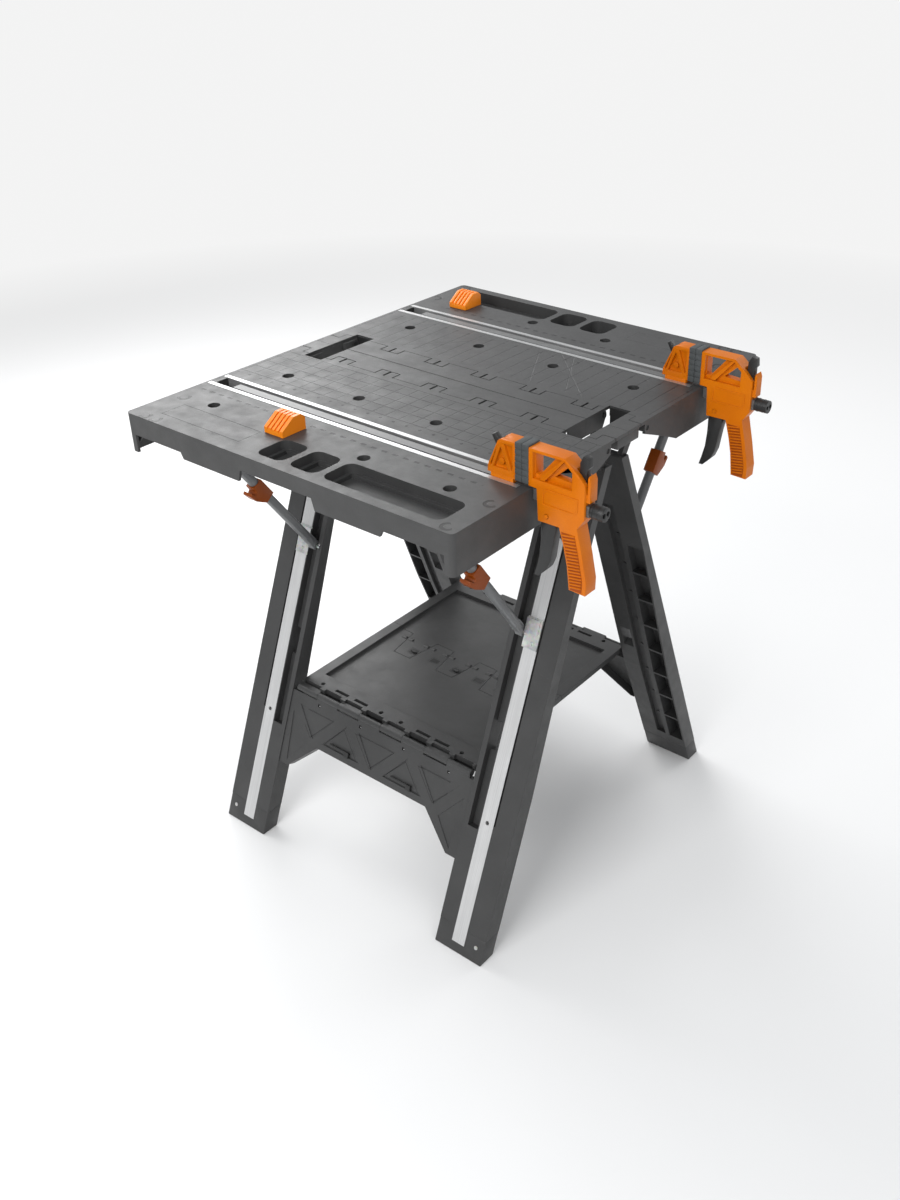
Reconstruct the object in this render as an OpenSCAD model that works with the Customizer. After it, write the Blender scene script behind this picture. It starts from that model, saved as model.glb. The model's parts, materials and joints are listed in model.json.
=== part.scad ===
// Folding workbench with two drop-down table halves, a folding A-frame,
// a folding shelf, four support struts, two bar clamps and two bench dogs.
// X runs along the clamp tracks, Y across the two halves, Z is up, floor at Z = 0.

/* [Table] */
// Length of the table top along the tracks
table_length = 635; // [560:1:760]
// Depth of the open table top across both halves
table_depth = 787; // [740:1:840]
// Height of the table top above the floor
table_height = 813; // [780:1:860]
// Thickness of the moulded top plates
top_thickness = 5; // [4:0.5:5]
// Width of the middle spine between the two halves
spine_width = 104; // [96:1:112]
// Gap between the spine and each table half
spine_gap = 0.8; // [0.5:0.1:1.5]
// Wall of the aprons and end walls
apron_wall = 4; // [3:0.5:6]
// Radius of the outer table corners
table_corner_r = 8; // [4:1:14]
// Drop of the apron corner feet below the top
apron_foot_drop = 62; // [50:1:66]
// Drop of the apron where the legs fold in behind it
apron_leg_drop = 33; // [28:1:34]
// Drop of the apron between the legs
apron_side_drop = 43; // [36:1:46]
// Drop of the apron in the middle cut-out
apron_middle_drop = 25; // [20:1:30]
// Half width of the middle cut-out of the apron
apron_middle_half = 75; // [50:1:100]
// Thickness of the ribs under the top
rib_t = 3; // [2:0.5:4]
// Depth of the ribs below the top surface
rib_drop = 23; // [16:1:25]
// Diameter of the bench dog holes
dog_hole_d = 19; // [15:0.5:20]
// Spacing of the bench dog holes along X
dog_pitch = 155; // [130:1:170]

/* [Spine] */
// Inner edge of the carry handle hole from the middle
handle_hole_in = 243; // [235:1:250]
// Outer edge of the carry handle hole from the middle
handle_hole_out = 281; // [270:1:284]
// Half depth of the carry handle holes across the spine
handle_hole_half = 63; // [60:1:64]
// Depth of the carry handle bar below the top
handle_drop = 20; // [18:1:22]
// Width of the inner beam
beam_width = 54; // [44:1:56]
// Drop of the beam underside below the top
beam_drop = 29; // [24:1:30]
// Wall of the inner beam
beam_wall = 2.5; // [2:0.5:4]
// Half width of the carry handle bars
handle_half_w = 28; // [22:1:28]

/* [Hinges] */
// Drop of the two main hinge axes below the table top
hinge_drop = 13; // [13:0.5:13.5]
// Diameter of the two main hinge rods
hinge_rod_d = 8; // [6:0.5:9]
// Diameter of the main hinge knuckles
knuckle_d = 15; // [13:0.5:15]
// Radial running clearance of the pivots
pivot_clear = 0.08; // [0.05:0.01:0.1]
// Spacing of the hinge lug pairs along X
lug_pitch = 98; // [94:1:99]
// Place of the first lug pair of the front half
lug_first = -211.5; // [-212:0.5:-208]
// Width of one hinge lug
lug_w = 16; // [12:0.5:16.5]
// Gap between the two lugs of a pair
lug_gap = 4; // [3:0.5:6]
// Reach of the lugs past the hinge axis
lug_reach = 18; // [14:0.5:18]

/* [Legs] */
// Lean of the legs from the vertical
leg_tilt = 22.3; // [22:0.1:22.6]
// Distance of a leg's outer side from the middle
leg_out = 300; // [290:1:300]
// Distance of a leg's inner side from the middle
leg_in = 205; // [203:1:207]
// Distance of the leg's front face inside the hinge axis
leg_offset = 35.2; // [34:0.1:36]
// Thickness of the legs below the kink
leg_foot_t = 30.5; // [28:0.5:31]
// Thickness of the legs at the top
leg_top_t = 16.5; // [15:0.5:17]
// Height of the kink in the back of the legs
leg_kink_h = 257; // [240:1:280]
// Height where the taper of the legs ends
leg_taper_h = 568; // [540:1:590]
// Height of the leg tops
leg_top_h = 760; // [740:1:764]
// Height of the foot caps
foot_cap_h = 40; // [30:1:55]
// Width of the steel strip in each leg
strip_w = 25; // [20:0.5:25]
// Thickness of the steel strip
strip_t = 3; // [2:0.5:4]
// Width of the stow recess for the strut
recess_w = 20; // [19:0.5:20]
// Depth of the stow recess for the strut
recess_depth = 13.5; // [12:0.5:13.5]

/* [Cross panel] */
// Height of the shelf hinge axes above the floor
shelf_axis_h = 267.8; // [260:0.1:275]
// Height of the lower edge of the panel in the middle
panel_low_h = 188; // [175:1:200]
// Height of the lower corners of the panel at the legs
panel_corner_h = 136; // [125:1:145]
// Wall of the panel
panel_wall = 4; // [3:0.5:5]
// Depth of the panel flange
panel_depth = 18; // [14:1:22]

/* [Shelf] */
// Half length of the shelf along X
shelf_half = 196; // [190:1:198]
// Thickness of the shelf border
shelf_t = 10; // [8:0.5:11]
// Thickness of the shelf floor
shelf_floor_t = 3.5; // [3:0.5:4]
// Width of the raised shelf border
shelf_border = 20; // [18:1:26]
// Reach of the rear shelf's teeth past the middle
tooth_reach = 47; // [36:1:50]
// Gap along the interlocking seam
seam_gap = 0.8; // [0.8:0.1:1.4]
// Diameter of the shelf hinge rods
shelf_rod_d = 7; // [5:0.5:7]
// Diameter of the shelf knuckles
shelf_knuckle_d = 12; // [11:0.5:12]

/* [Struts] */
// Diameter of the struts
strut_d = 16; // [14:0.5:16]
// Width of the strut's two end plates
strut_plate_w = 13; // [12:0.5:13]
// Length of a strut between its two pivots
strut_length = 322.7; // [320:0.1:324]
// Rise of a strut above the horizontal when it carries the table
strut_rise = 55; // [54.5:0.1:55.5]
// Distance of the strut pivot from the hinge axis along the leg
strut_pivot_drop = 305.2; // [303:0.1:307]
// Depth of the strut pivot behind the leg's front face
strut_pivot_in = 1.9; // [1.5:0.1:2.5]
// Diameter of the strut pivot pin
strut_pin_d = 8; // [6:0.5:8]
// Distance of the middle of the orange clip from the strut pivot
clip_at = 179; // [175:1:183]
// Length of the orange clip along the strut
clip_length = 42; // [38:1:48]
// Reach of the orange clip from the middle of the strut
clip_reach = 23; // [21:1:25]
// Diameter of the catch bar under the table
catch_bar_d = 6; // [5:0.5:6]

/* [Clamp track] */
// Distance of the clamp tracks from the middle
track_y = 221.5; // [221:0.5:222]
// Width of the clamp tracks across their rims
track_w = 42; // [40:0.2:43]
// Width of the opening between the rims
track_mouth = 26; // [25:0.5:27]
// Depth of the clamp tracks
track_drop = 21; // [20:0.5:22]
// Wall of the clamp tracks
track_wall = 3; // [2:0.25:3.5]
// Left end of the tracks from the middle
track_left = 312; // [300:1:316]
// Right end of the tracks from the middle
track_right = 300; // [290:1:304]

/* [Clamps] */
// Width of the clamp castings
clamp_w = 24; // [20:1:26]
// Width of the clamp pads
pad_w = 26; // [22:1:28]
// Thickness of one clamp pad
pad_t = 10.5; // [8:0.5:10.5]
// Place of the face where the two pads meet
pad_meet_x = 302; // [300:1:304]
// Height of the pads above the table top
pad_rise = 60; // [50:1:62]
// Gap between the pads and the table top
pad_lift = 5; // [3:0.5:6]
// Width of the clamp bar
bar_w = 15; // [12:0.5:16]
// Height of the clamp bar
bar_h = 16; // [12:0.5:16]
// Left end of the clamp bar from the middle
bar_left = 268; // [240:1:280]
// Right end of the clamp bar from the middle
bar_right = 406.5; // [405:0.5:408]
// Diameter of the bar end knob
bar_knob_d = 20; // [18:0.5:22]
// Length of the bar end knob
bar_knob_l = 21; // [18:1:30]

/* [Bench dogs] */
// Height of the dog heads
dog_head_h = 25; // [18:1:30]
// Length of the dog heads along X
dog_head_l = 38; // [30:1:44]
// Width of the dog heads along Y
dog_head_w = 45; // [36:1:50]
// Radial clearance of the dog stems in their holes
dog_clear = 0.1; // [0.05:0.01:0.1]

/* [Hidden] */

$fn = 48;
// Overrun of every cut past the face that it opens
over = 1;
// Gap between two pieces that are seated on each other
seat = 0.3;
// Side gap between neighbouring pieces that move
side_gap = 0.5;
plastic = "dimgray";
steel = "silver";
orange = "orange";

half_length = table_length / 2;
half_depth = table_depth / 2;
top_under = table_height - top_thickness;
hinge_y = spine_width / 2;
hinge_z = table_height - hinge_drop;
knuckle_r = knuckle_d / 2;
rod_r = hinge_rod_d / 2;
rod_hold_r = rod_r + pivot_clear / 2;
rod_bore_r = rod_r + pivot_clear;
lug_count = 5;
// Width of one fixed spine knuckle
spine_knuckle_w = 10;
end_knuckle_w = 9;
arm_w = 8;
arm_inset = 27;
arm_inner = leg_in + arm_inset;
end_knuckle_in = handle_hole_out - 10 * side_gap;
arm_outer = end_knuckle_in + end_knuckle_w + 3 * side_gap;
foot_in = leg_out + 5 * side_gap;
end_lug_in = arm_outer + arm_w + 4 * side_gap;

recess_in = leg_in + recess_w / 2 - side_gap;
recess_out = recess_in + recess_w;
strut_x = (recess_in + recess_out) / 2;
strip_in = recess_out + 4 * side_gap;
strip_out = strip_in + strip_w;
slot_in = strip_out + side_gap;
slot_w = 3;

// Local height on a leg of the point at world height h and local depth d
function leg_z(h, d) = (h - hinge_z + d * sin(leg_tilt)) / cos(leg_tilt);
// World Y of a front leg's local point
function leg_y(d, z) = -hinge_y + d * cos(leg_tilt) + z * sin(leg_tilt);
// World Z of a front leg's local point
function leg_h(d, z) = hinge_z - d * sin(leg_tilt) + z * cos(leg_tilt);
// World point on a front leg at height h and local depth d
function leg_at(h, d) = [leg_y(d, leg_z(h, d)), h];
function lug_centre(i) = lug_first + lug_pitch * i;

shelf_rod_r = shelf_rod_d / 2;
shelf_knuckle_r = shelf_knuckle_d / 2;
shelf_pivot_d = leg_offset + shelf_knuckle_r;
shelf_pivot_z = leg_z(shelf_axis_h, shelf_pivot_d);
shelf_reach = -leg_y(shelf_pivot_d, shelf_pivot_z);

strut_d_local = leg_offset + strut_pivot_in;
strut_pivot_y = leg_y(strut_d_local, -strut_pivot_drop);
strut_pivot_h = leg_h(strut_d_local, -strut_pivot_drop);
catch_y = strut_pivot_y - strut_length * cos(strut_rise);
catch_h = strut_pivot_h + strut_length * sin(strut_rise);
catch_r = catch_bar_d / 2;

module both_sides() {
    children();
    mirror([1, 0, 0]) children();
}

module side_of(side) {
    mirror([side < 0 ? 1 : 0, 0, 0]) children();
}

module rear() {
    rotate([0, 0, 180]) children();
}

module on_leg() {
    translate([0, -hinge_y, hinge_z]) rotate([-leg_tilt, 0, 0]) children();
}

module along_x(x0, x1) {
    translate([x0, 0, 0]) rotate([90, 0, 90]) linear_extrude(x1 - x0) children();
}

module along_y(y0, y1) {
    translate([0, y1, 0]) rotate([90, 0, 0]) linear_extrude(y1 - y0) children();
}

module rod_x(x0, x1, y, z, r) {
    translate([x0, y, z]) rotate([0, 90, 0]) cylinder(h = x1 - x0, r = r);
}

module rod_y(x, y0, y1, z, r) {
    translate([x, y1, z]) rotate([90, 0, 0]) cylinder(h = y1 - y0, r = r);
}

module block(x0, x1, y0, y1, z0, z1) {
    translate([x0, y0, z0]) cube([x1 - x0, y1 - y0, z1 - z0]);
}

module area(x0, x1, y0, y1) {
    translate([x0, y0]) square([x1 - x0, y1 - y0]);
}

// Spine
beam_half_l = leg_in - 4 * side_gap;
beam_low = table_height - beam_drop;
beam_top = top_under - seat;
beam_rib_t = 3;
beam_bay = 49;
cover_in = side_gap / 2;
cover_out = hinge_y - spine_gap / 2;
lug_cut_side = 4 * side_gap;
lug_cut_w = 2 * lug_w + lug_gap + 2 * lug_cut_side;
lug_cut_in = hinge_y - lug_reach - 3 * side_gap;
// Walls that hang down beside the carry handle holes
skirt_t = 2.5;
skirt_out = hinge_y - knuckle_r;
skirt_low = table_height - beam_drop;

module spine_knuckle(x0, x1, inner) {
    difference() {
        union() {
            rod_x(x0, x1, -hinge_y, hinge_z, knuckle_r);
            block(x0, x1, -hinge_y, -inner, hinge_z - knuckle_r, beam_top);
        }
        rod_x(x0 - over, x1 + over, -hinge_y, hinge_z, rod_hold_r);
    }
}

module beam_knuckles() {
    inner = beam_width / 2 - beam_wall;
    for (i = [0 : lug_count - 2]) {
        x = lug_centre(i) + lug_pitch / 2;
        spine_knuckle(x - spine_knuckle_w / 2, x + spine_knuckle_w / 2, inner);
    }
}

module spine_beam() {
    half_w = beam_width / 2;
    color(plastic) difference() {
        union() {
            block(-beam_half_l, beam_half_l, -half_w, half_w, beam_low, beam_top);
            beam_knuckles();
            rear() beam_knuckles();
        }
        for (x = [-beam_half_l + beam_wall : beam_bay : beam_half_l - beam_bay])
            block(x, x + beam_bay - beam_rib_t, -half_w + beam_wall, half_w - beam_wall,
                beam_low - over, beam_top - beam_wall);
    }
}

module cover_shape() {
    difference() {
        area(-half_length, half_length, -cover_out, -cover_in);
        both_sides() area(handle_hole_in, handle_hole_out, -hinge_y, 0);
        for (i = [0 : lug_count - 1]) {
            x = lug_centre(i);
            area(x - lug_cut_w / 2, x + lug_cut_w / 2, -hinge_y, -lug_cut_in);
        }
        both_sides() area(end_lug_in - 2 * side_gap, table_length, -hinge_y, -lug_cut_in);
    }
}

module spine_cover_front() {
    color(plastic) {
        translate([0, 0, top_under]) linear_extrude(top_thickness) cover_shape();
        both_sides() block(handle_hole_in - skirt_t, handle_hole_in, -skirt_out, -cover_in,
            skirt_low, top_under + over);
    }
}

module spine_cover_rear() {
    rear() spine_cover_front();
}

// Carry handles
grip_r = 11;
handle_low = table_height - handle_drop;

module handle_right() {
    grip_y = handle_half_w - 8 * side_gap;
    color(plastic) {
        block(handle_hole_out, half_length, -handle_half_w, handle_half_w, handle_low, beam_top);
        intersection() {
            rod_y(handle_hole_out + grip_r, -grip_y, grip_y, top_under - grip_r / 2, grip_r);
            block(handle_hole_out, half_length, -grip_y, grip_y, 0, beam_top);
        }
        for (a = [0, 1]) mirror([0, a, 0])
            difference() {
                union() {
                    rod_x(end_knuckle_in, end_knuckle_in + end_knuckle_w, -hinge_y, hinge_z, knuckle_r);
                    block(end_knuckle_in, end_knuckle_in + end_knuckle_w,
                        -hinge_y, -handle_half_w + over, handle_low, beam_top);
                }
                rod_x(end_knuckle_in - over, end_knuckle_in + end_knuckle_w + over,
                    -hinge_y, hinge_z, rod_hold_r);
            }
    }
}

module handle_left() {
    mirror([1, 0, 0]) handle_right();
}

module hinge_rod_front() {
    rod_in = handle_hole_in - side_gap;
    rod_out = half_length - 3 * side_gap;
    color(steel) {
        rod_x(-rod_in, rod_in, -hinge_y, hinge_z, rod_r);
        both_sides() rod_x(end_knuckle_in, rod_out, -hinge_y, hinge_z, rod_r);
    }
}

module hinge_rod_rear() {
    rear() hinge_rod_front();
}

// Legs
leg_chamfer = 3;
leg_front_wall = 4;
leg_side_wall = 3;
leg_rib_t = 4;
leg_rib_count = 8;
pocket_low_h = 62;
channel_inset = 3;
channel_in = strip_in + channel_inset;
channel_w = 19;
channel_depth = 8;
rivet_r = 3.5;
rivet_count = 9;
strip_top_h = 650;
strip_low_h = 15;
slot_low_h = 213;
recess_spare = 10;
recess_low_z = strut_pivot_drop + strut_length + recess_spare;
recess_top_h = 655;
clip_half_w = 9.5;
strut_r = strut_d / 2;
pin_r = strut_pin_d / 2;
arm_back = leg_offset + leg_top_t - 3 * side_gap;
arm_shoulder = 29;
arm_foot = 60;
arm_throat = 16;
leg_low_h = foot_cap_h + seat / 2;

module leg_outline(low, high) {
    foot_d = leg_offset + leg_foot_t;
    top_d = leg_offset + leg_top_t;
    intersection() {
        polygon([leg_at(0, leg_offset), leg_at(leg_top_h, leg_offset), leg_at(leg_top_h, top_d),
            leg_at(leg_taper_h, top_d), leg_at(leg_kink_h, foot_d), leg_at(0, foot_d)]);
        area(-half_depth, half_depth, low, high);
    }
}

module leg_arm(x0) {
    r = knuckle_r * sin(45);
    on_leg() along_x(x0, x0 + arm_w) polygon([[-r, -r], [r, r], [arm_back, -arm_shoulder],
        [arm_back, -arm_foot], [leg_offset, -arm_foot], [leg_offset, -arm_shoulder - r],
        [knuckle_r, -arm_throat]]);
    rod_x(x0, x0 + arm_w, -hinge_y, hinge_z, knuckle_r);
}

// Straight cut or strip along the front face of a leg with a round upper end
module leg_face_bar(x0, x1, low_h, top_h, d0, d1) {
    r = (x1 - x0) / 2;
    z0 = leg_z(low_h, leg_offset);
    z1 = leg_z(top_h, leg_offset) - r;
    on_leg() along_y(d0, d1) {
        area(x0, x1, z0, z1);
        translate([x0 + r, z1]) circle(r);
    }
}

module strip_pocket() {
    leg_face_bar(strip_in - seat, strip_out + seat, strip_low_h, strip_top_h,
        leg_offset - over, leg_offset + strip_t + seat);
}

module leg_back_pockets() {
    depth = leg_offset + leg_front_wall;
    back = leg_offset + leg_foot_t + over;
    along_x(slot_in + slot_w + leg_side_wall, leg_out - leg_side_wall) polygon([
        leg_at(pocket_low_h, depth), leg_at(leg_taper_h, depth),
        leg_at(leg_taper_h, back), leg_at(pocket_low_h, back)]);
}

module leg_ribs() {
    step = (leg_taper_h - pocket_low_h) / leg_rib_count;
    for (i = [1 : leg_rib_count - 1]) intersection() {
        along_x(slot_in + slot_w, leg_out - over) leg_outline(leg_low_h, leg_top_h);
        rib_h = pocket_low_h + step * i;
        block(slot_in, leg_out, -half_depth, 0, rib_h, rib_h + leg_rib_t);
    }
}

module leg_channel() {
    foot_d = leg_offset + leg_foot_t;
    top_d = leg_offset + leg_top_t;
    deep = channel_depth;
    along_x(channel_in, channel_in + channel_w) polygon([
        leg_at(pocket_low_h, foot_d - deep), leg_at(leg_kink_h, foot_d - deep),
        leg_at(leg_taper_h, top_d - deep), leg_at(strip_top_h, top_d - deep),
        leg_at(strip_top_h, foot_d + over), leg_at(pocket_low_h, foot_d + over)]);
}

module leg_rivets() {
    foot_d = leg_offset + leg_foot_t;
    step = (strip_top_h - pocket_low_h) / rivet_count;
    grow = (leg_foot_t - leg_top_t) / (leg_taper_h - leg_kink_h);
    for (i = [1 : rivet_count - 1]) {
        h = pocket_low_h + step * i;
        d = foot_d - channel_depth - grow * (min(max(h, leg_kink_h), leg_taper_h) - leg_kink_h);
        on_leg() rod_y(channel_in + channel_w / 2, d - over, d + rivet_r / 2, leg_z(h, leg_offset), rivet_r);
    }
}

module leg_right() {
    clip_from = strut_pivot_drop + clip_at - clip_length / 2 - 6 * side_gap;
    clip_to = strut_pivot_drop + clip_at + clip_length / 2 + 6 * side_gap;
    color(plastic) difference() {
        union() {
            difference() {
                along_x(leg_in, leg_out) leg_outline(leg_low_h, leg_top_h);
                leg_back_pockets();
                leg_channel();
            }
            leg_ribs();
            leg_rivets();
            leg_arm(arm_inner);
            leg_arm(arm_outer);
        }
        strip_pocket();
        leg_face_bar(slot_in, slot_in + slot_w, slot_low_h, strip_top_h,
            leg_offset - over, leg_offset + leg_front_wall);
        on_leg() block(recess_in, recess_out, leg_offset - over, leg_offset + recess_depth,
            -recess_low_z, leg_z(recess_top_h, leg_offset));
        on_leg() block(strut_x - clip_half_w - side_gap, strut_x + clip_half_w + side_gap,
            leg_offset, leg_offset + 2 * leg_foot_t, -clip_to, -clip_from);
        on_leg() rod_x(recess_in - recess_w / 4 - seat, strip_in,
            strut_d_local, -strut_pivot_drop, pin_r + pivot_clear / 2);
        rod_x(arm_inner - over, arm_outer + arm_w + over, -hinge_y, hinge_z, rod_bore_r);
    }
}

module front_leg_right() {
    leg_right();
}

module front_leg_left() {
    mirror([1, 0, 0]) leg_right();
}

module rear_leg_left() {
    rear() leg_right();
}

module rear_leg_right() {
    rear() mirror([1, 0, 0]) leg_right();
}

module front_leg_strips() {
    color(steel) both_sides() difference() {
        leg_face_bar(strip_in, strip_out, strip_low_h + seat, strip_top_h - seat,
            leg_offset, leg_offset + strip_t);
        on_leg() rod_y(strip_in + strip_w / 2, leg_offset - over, leg_offset + strip_t + over,
            leg_z(slot_low_h, leg_offset), rivet_r);
    }
}

module rear_leg_strips() {
    rear() front_leg_strips();
}

module front_foot_caps() {
    color("black") both_sides() difference() {
        along_x(leg_in, leg_out) leg_outline(0, foot_cap_h - seat / 2);
        strip_pocket();
    }
}

module rear_foot_caps() {
    rear() front_foot_caps();
}

// Strut brackets: a pressed plate on each strip and the pin that it holds
bracket_low_h = 484;
bracket_high_h = 530;
bracket_t = 4;
bracket_flange_t = 1.5;
bracket_in = strut_x + strut_r + 2 * side_gap;

module strut_bracket() {
    face = leg_offset - side_gap / 2;
    pin_in = recess_in - recess_w / 4;
    pin_out = strip_in - seat;
    z0 = leg_z(bracket_low_h, leg_offset);
    z1 = leg_z(bracket_high_h, leg_offset);
    on_leg() {
        difference() {
            block(bracket_in, strip_out, face - bracket_flange_t, face, z0, z1);
            rod_y(strip_in + strip_w / 2, face - bracket_flange_t - over, face + over,
                z0 + bracket_t * 2, rivet_r / 2);
        }
        block(bracket_in, strip_out - bracket_t, face - bracket_t, face - bracket_flange_t,
            (z0 + z1) / 2, z1 - bracket_t / 2);
        rod_y(strip_in + strip_w / 2, face - bracket_t + side_gap, face - bracket_flange_t,
            z0 + bracket_t * 2, rivet_r);
        rod_x(pin_in, pin_out, strut_d_local, -strut_pivot_drop, pin_r);
    }
}

module front_strut_brackets() {
    color(steel) both_sides() strut_bracket();
}

module rear_strut_brackets() {
    rear() front_strut_brackets();
}

// Cross panels
post_count = 8;
post_step = 2 * shelf_half / post_count;
panel_half = leg_in - seat;
panel_low_half = 125;
panel_corner_x = 184;
panel_front = leg_offset + 3 * side_gap;
panel_top_gap = 11;
brace_pitch = 70;
brace_half = 42;
brace_depth = 1.2;
brace_end_shares = [[0.95, 0.86], [0.75, 0.69], [0.92, 0.54]];
hinge_hole = 5;

function panel_z(h) = leg_z(h, leg_offset);

module panel_shape(inset) {
    top = shelf_pivot_z - shelf_knuckle_r - 2 * side_gap;
    polygon([[-panel_half + inset, top - inset], [panel_half - inset, top - inset],
        [panel_half - inset, panel_z(panel_corner_h) - inset],
        [panel_corner_x, panel_z(panel_corner_h) + inset],
        [panel_low_half, panel_z(panel_low_h) + inset],
        [-panel_low_half, panel_z(panel_low_h) + inset],
        [-panel_corner_x, panel_z(panel_corner_h) + inset],
        [-panel_half + inset, panel_z(panel_corner_h) - inset]]);
}

// Shallow triangles on the face of a cross panel, standing, hanging and beside the legs
module panel_triangle(x, side) {
    low = panel_z(panel_low_h) + 3 * panel_wall;
    high = shelf_pivot_z - shelf_knuckle_r - 5 * panel_wall;
    base = side > 0 ? low : high;
    tip = side > 0 ? high : low;
    polygon([[x - brace_half, base], [x + brace_half, base], [x, tip]]);
}

module panel_bracing() {
    along_y(panel_front - over, panel_front + brace_depth) {
        for (i = [-1, 1]) panel_triangle(brace_pitch * i, 1);
        for (i = [-2, 0, 2]) panel_triangle(brace_pitch * i, -1);
        both_sides() polygon([for (s = brace_end_shares)
            [s[0] * panel_half, panel_z(s[1] * shelf_axis_h)]]);
    }
}

module cross_panel(posts) {
    top = shelf_pivot_z - shelf_knuckle_r - 2 * side_gap;
    top_cut = posts ? 0 : panel_top_gap - shelf_knuckle_r - 2 * side_gap;
    on_leg() {
        difference() {
            union() {
                along_y(panel_front, panel_front + panel_wall) panel_shape(0);
                along_y(panel_front, panel_front + panel_depth) difference() {
                    panel_shape(0);
                    panel_shape(panel_wall);
                    area(-panel_half + panel_wall, panel_half - panel_wall,
                        top - 2 * panel_wall, top + over);
                }
            }
            panel_bracing();
            block(-leg_out, leg_out, 0, leg_offset + 2 * panel_depth, top - top_cut, top + panel_depth);
            if (posts) for (i = [1 : 2 : post_count - 1]) {
                x = -shelf_half + post_step * i;
                block(x + hinge_hole, x + 2 * hinge_hole, panel_front - over,
                    panel_front + panel_wall + over, top - 2 * hinge_hole, top - hinge_hole);
            }
        }
        if (posts) for (i = [1 : 2 : post_count - 1]) {
            x0 = -shelf_half + post_step * i + side_gap / 2;
            x1 = x0 + post_step - side_gap;
            difference() {
                union() {
                    rod_x(x0, x1, shelf_pivot_d, shelf_pivot_z, shelf_knuckle_r);
                    block(x0, x1, panel_front, shelf_pivot_d, top - over, shelf_pivot_z);
                }
                rod_x(x0 - over, x1 + over, shelf_pivot_d, shelf_pivot_z, shelf_rod_r + pivot_clear / 2);
            }
        }
    }
}

module front_cross_panel() {
    color(plastic) cross_panel(true);
}

module rear_cross_panel() {
    color(plastic) rear() cross_panel(false);
}

// Shelf
tooth_pitch = 100;
tooth_count = 3;
tooth_first = -116;
tooth_tip_w = 38;
tooth_root_w = 60;
seam_back = 18.5;
shelf_edge = shelf_knuckle_r + 3 * side_gap;
shelf_front_border = 44;
shelf_hole_r = 4;
shelf_slot_l = 30;
shelf_slot_w = 6;
shelf_row = 21;
shelf_hole_shares = [-0.806, -0.102, 0.128, 0.806];
shelf_slot_shares = [-0.568, -0.339, 0.383, 0.59];
mid_knuckle_r = shelf_knuckle_r - side_gap;
mid_knuckle_w = 10;
mid_pin_r = shelf_rod_r - side_gap;

module rear_teeth(grow) {
    for (i = [0 : tooth_count - 1]) {
        x = tooth_first + tooth_pitch * i;
        polygon([[x - tooth_root_w / 2 - grow, seam_back + over],
            [x - tooth_tip_w / 2 - grow, -tooth_reach - grow],
            [x + tooth_tip_w / 2 + grow, -tooth_reach - grow],
            [x + tooth_root_w / 2 + grow, seam_back + over]]);
    }
}

module shelf_shape(front) {
    far = shelf_reach - shelf_edge;
    if (front) difference() {
        area(-shelf_half, shelf_half, -far, seam_back - seam_gap / 2);
        rear_teeth(seam_gap / 2);
    }
    else union() {
        area(-shelf_half, shelf_half, seam_back + seam_gap / 2, far);
        rear_teeth(-seam_gap / 2);
    }
}

module shelf_tray() {
    far = shelf_reach - shelf_front_border;
    area(-shelf_half + shelf_border, shelf_half - shelf_border, -far, far);
}

hinge_slot_l = 38;
hinge_slot_w = 6.5;

// Long slots beside the shelf's hinge knuckles
module shelf_hinge_slots() {
    y = shelf_reach - shelf_knuckle_r - side_gap;
    for (s = [-1, 1], i = [0 : post_count - 1]) {
        x = -shelf_half + post_step * (i + 0.5);
        y0 = min(s * y, s * (y - hinge_slot_w));
        area(x - hinge_slot_l / 2, x + hinge_slot_l / 2, y0, y0 + hinge_slot_w);
    }
}

module shelf_row_holes() {
    y = shelf_reach - shelf_row;
    for (s = [-1, 1]) {
        for (share = shelf_hole_shares) translate([share * shelf_half, s * y]) circle(shelf_hole_r);
        for (share = shelf_slot_shares) translate([share * shelf_half, s * y])
            area(-shelf_slot_l / 2, shelf_slot_l / 2, -shelf_slot_w / 2, shelf_slot_w / 2);
    }
}

// Half flank of the rear teeth on the middle axis
function flank_half() = tooth_tip_w / 2
    + (tooth_root_w - tooth_tip_w) / 2 * tooth_reach / (tooth_reach + seam_back);

module mid_knuckles(front) {
    for (i = [0 : tooth_count - 1], s = [-1, 1]) {
        flank = tooth_first + tooth_pitch * i + s * flank_half();
        away = (front ? s : -s) * (mid_knuckle_w / 2 + 6 * side_gap);
        rod_x(flank + away - mid_knuckle_w / 2, flank + away + mid_knuckle_w / 2,
            0, shelf_axis_h, mid_knuckle_r);
    }
}

module mid_pins(r, half) {
    for (i = [0 : tooth_count - 1], s = [-1, 1]) {
        flank = tooth_first + tooth_pitch * i + s * flank_half();
        rod_x(flank - half, flank + half, 0, shelf_axis_h, r);
    }
}

module shelf_end_knuckles(side) {
    for (i = [0 : 2 : post_count - 1]) {
        x0 = -shelf_half + post_step * i + side_gap / 2;
        x1 = x0 + post_step - side_gap;
        rod_x(x0, x1, side * shelf_reach, shelf_axis_h, shelf_knuckle_r);
        near = min(side * shelf_reach, side * (shelf_reach - shelf_edge - over));
        block(x0, x1, near, near + shelf_edge + over, shelf_axis_h, shelf_axis_h + shelf_knuckle_r);
    }
}

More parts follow.
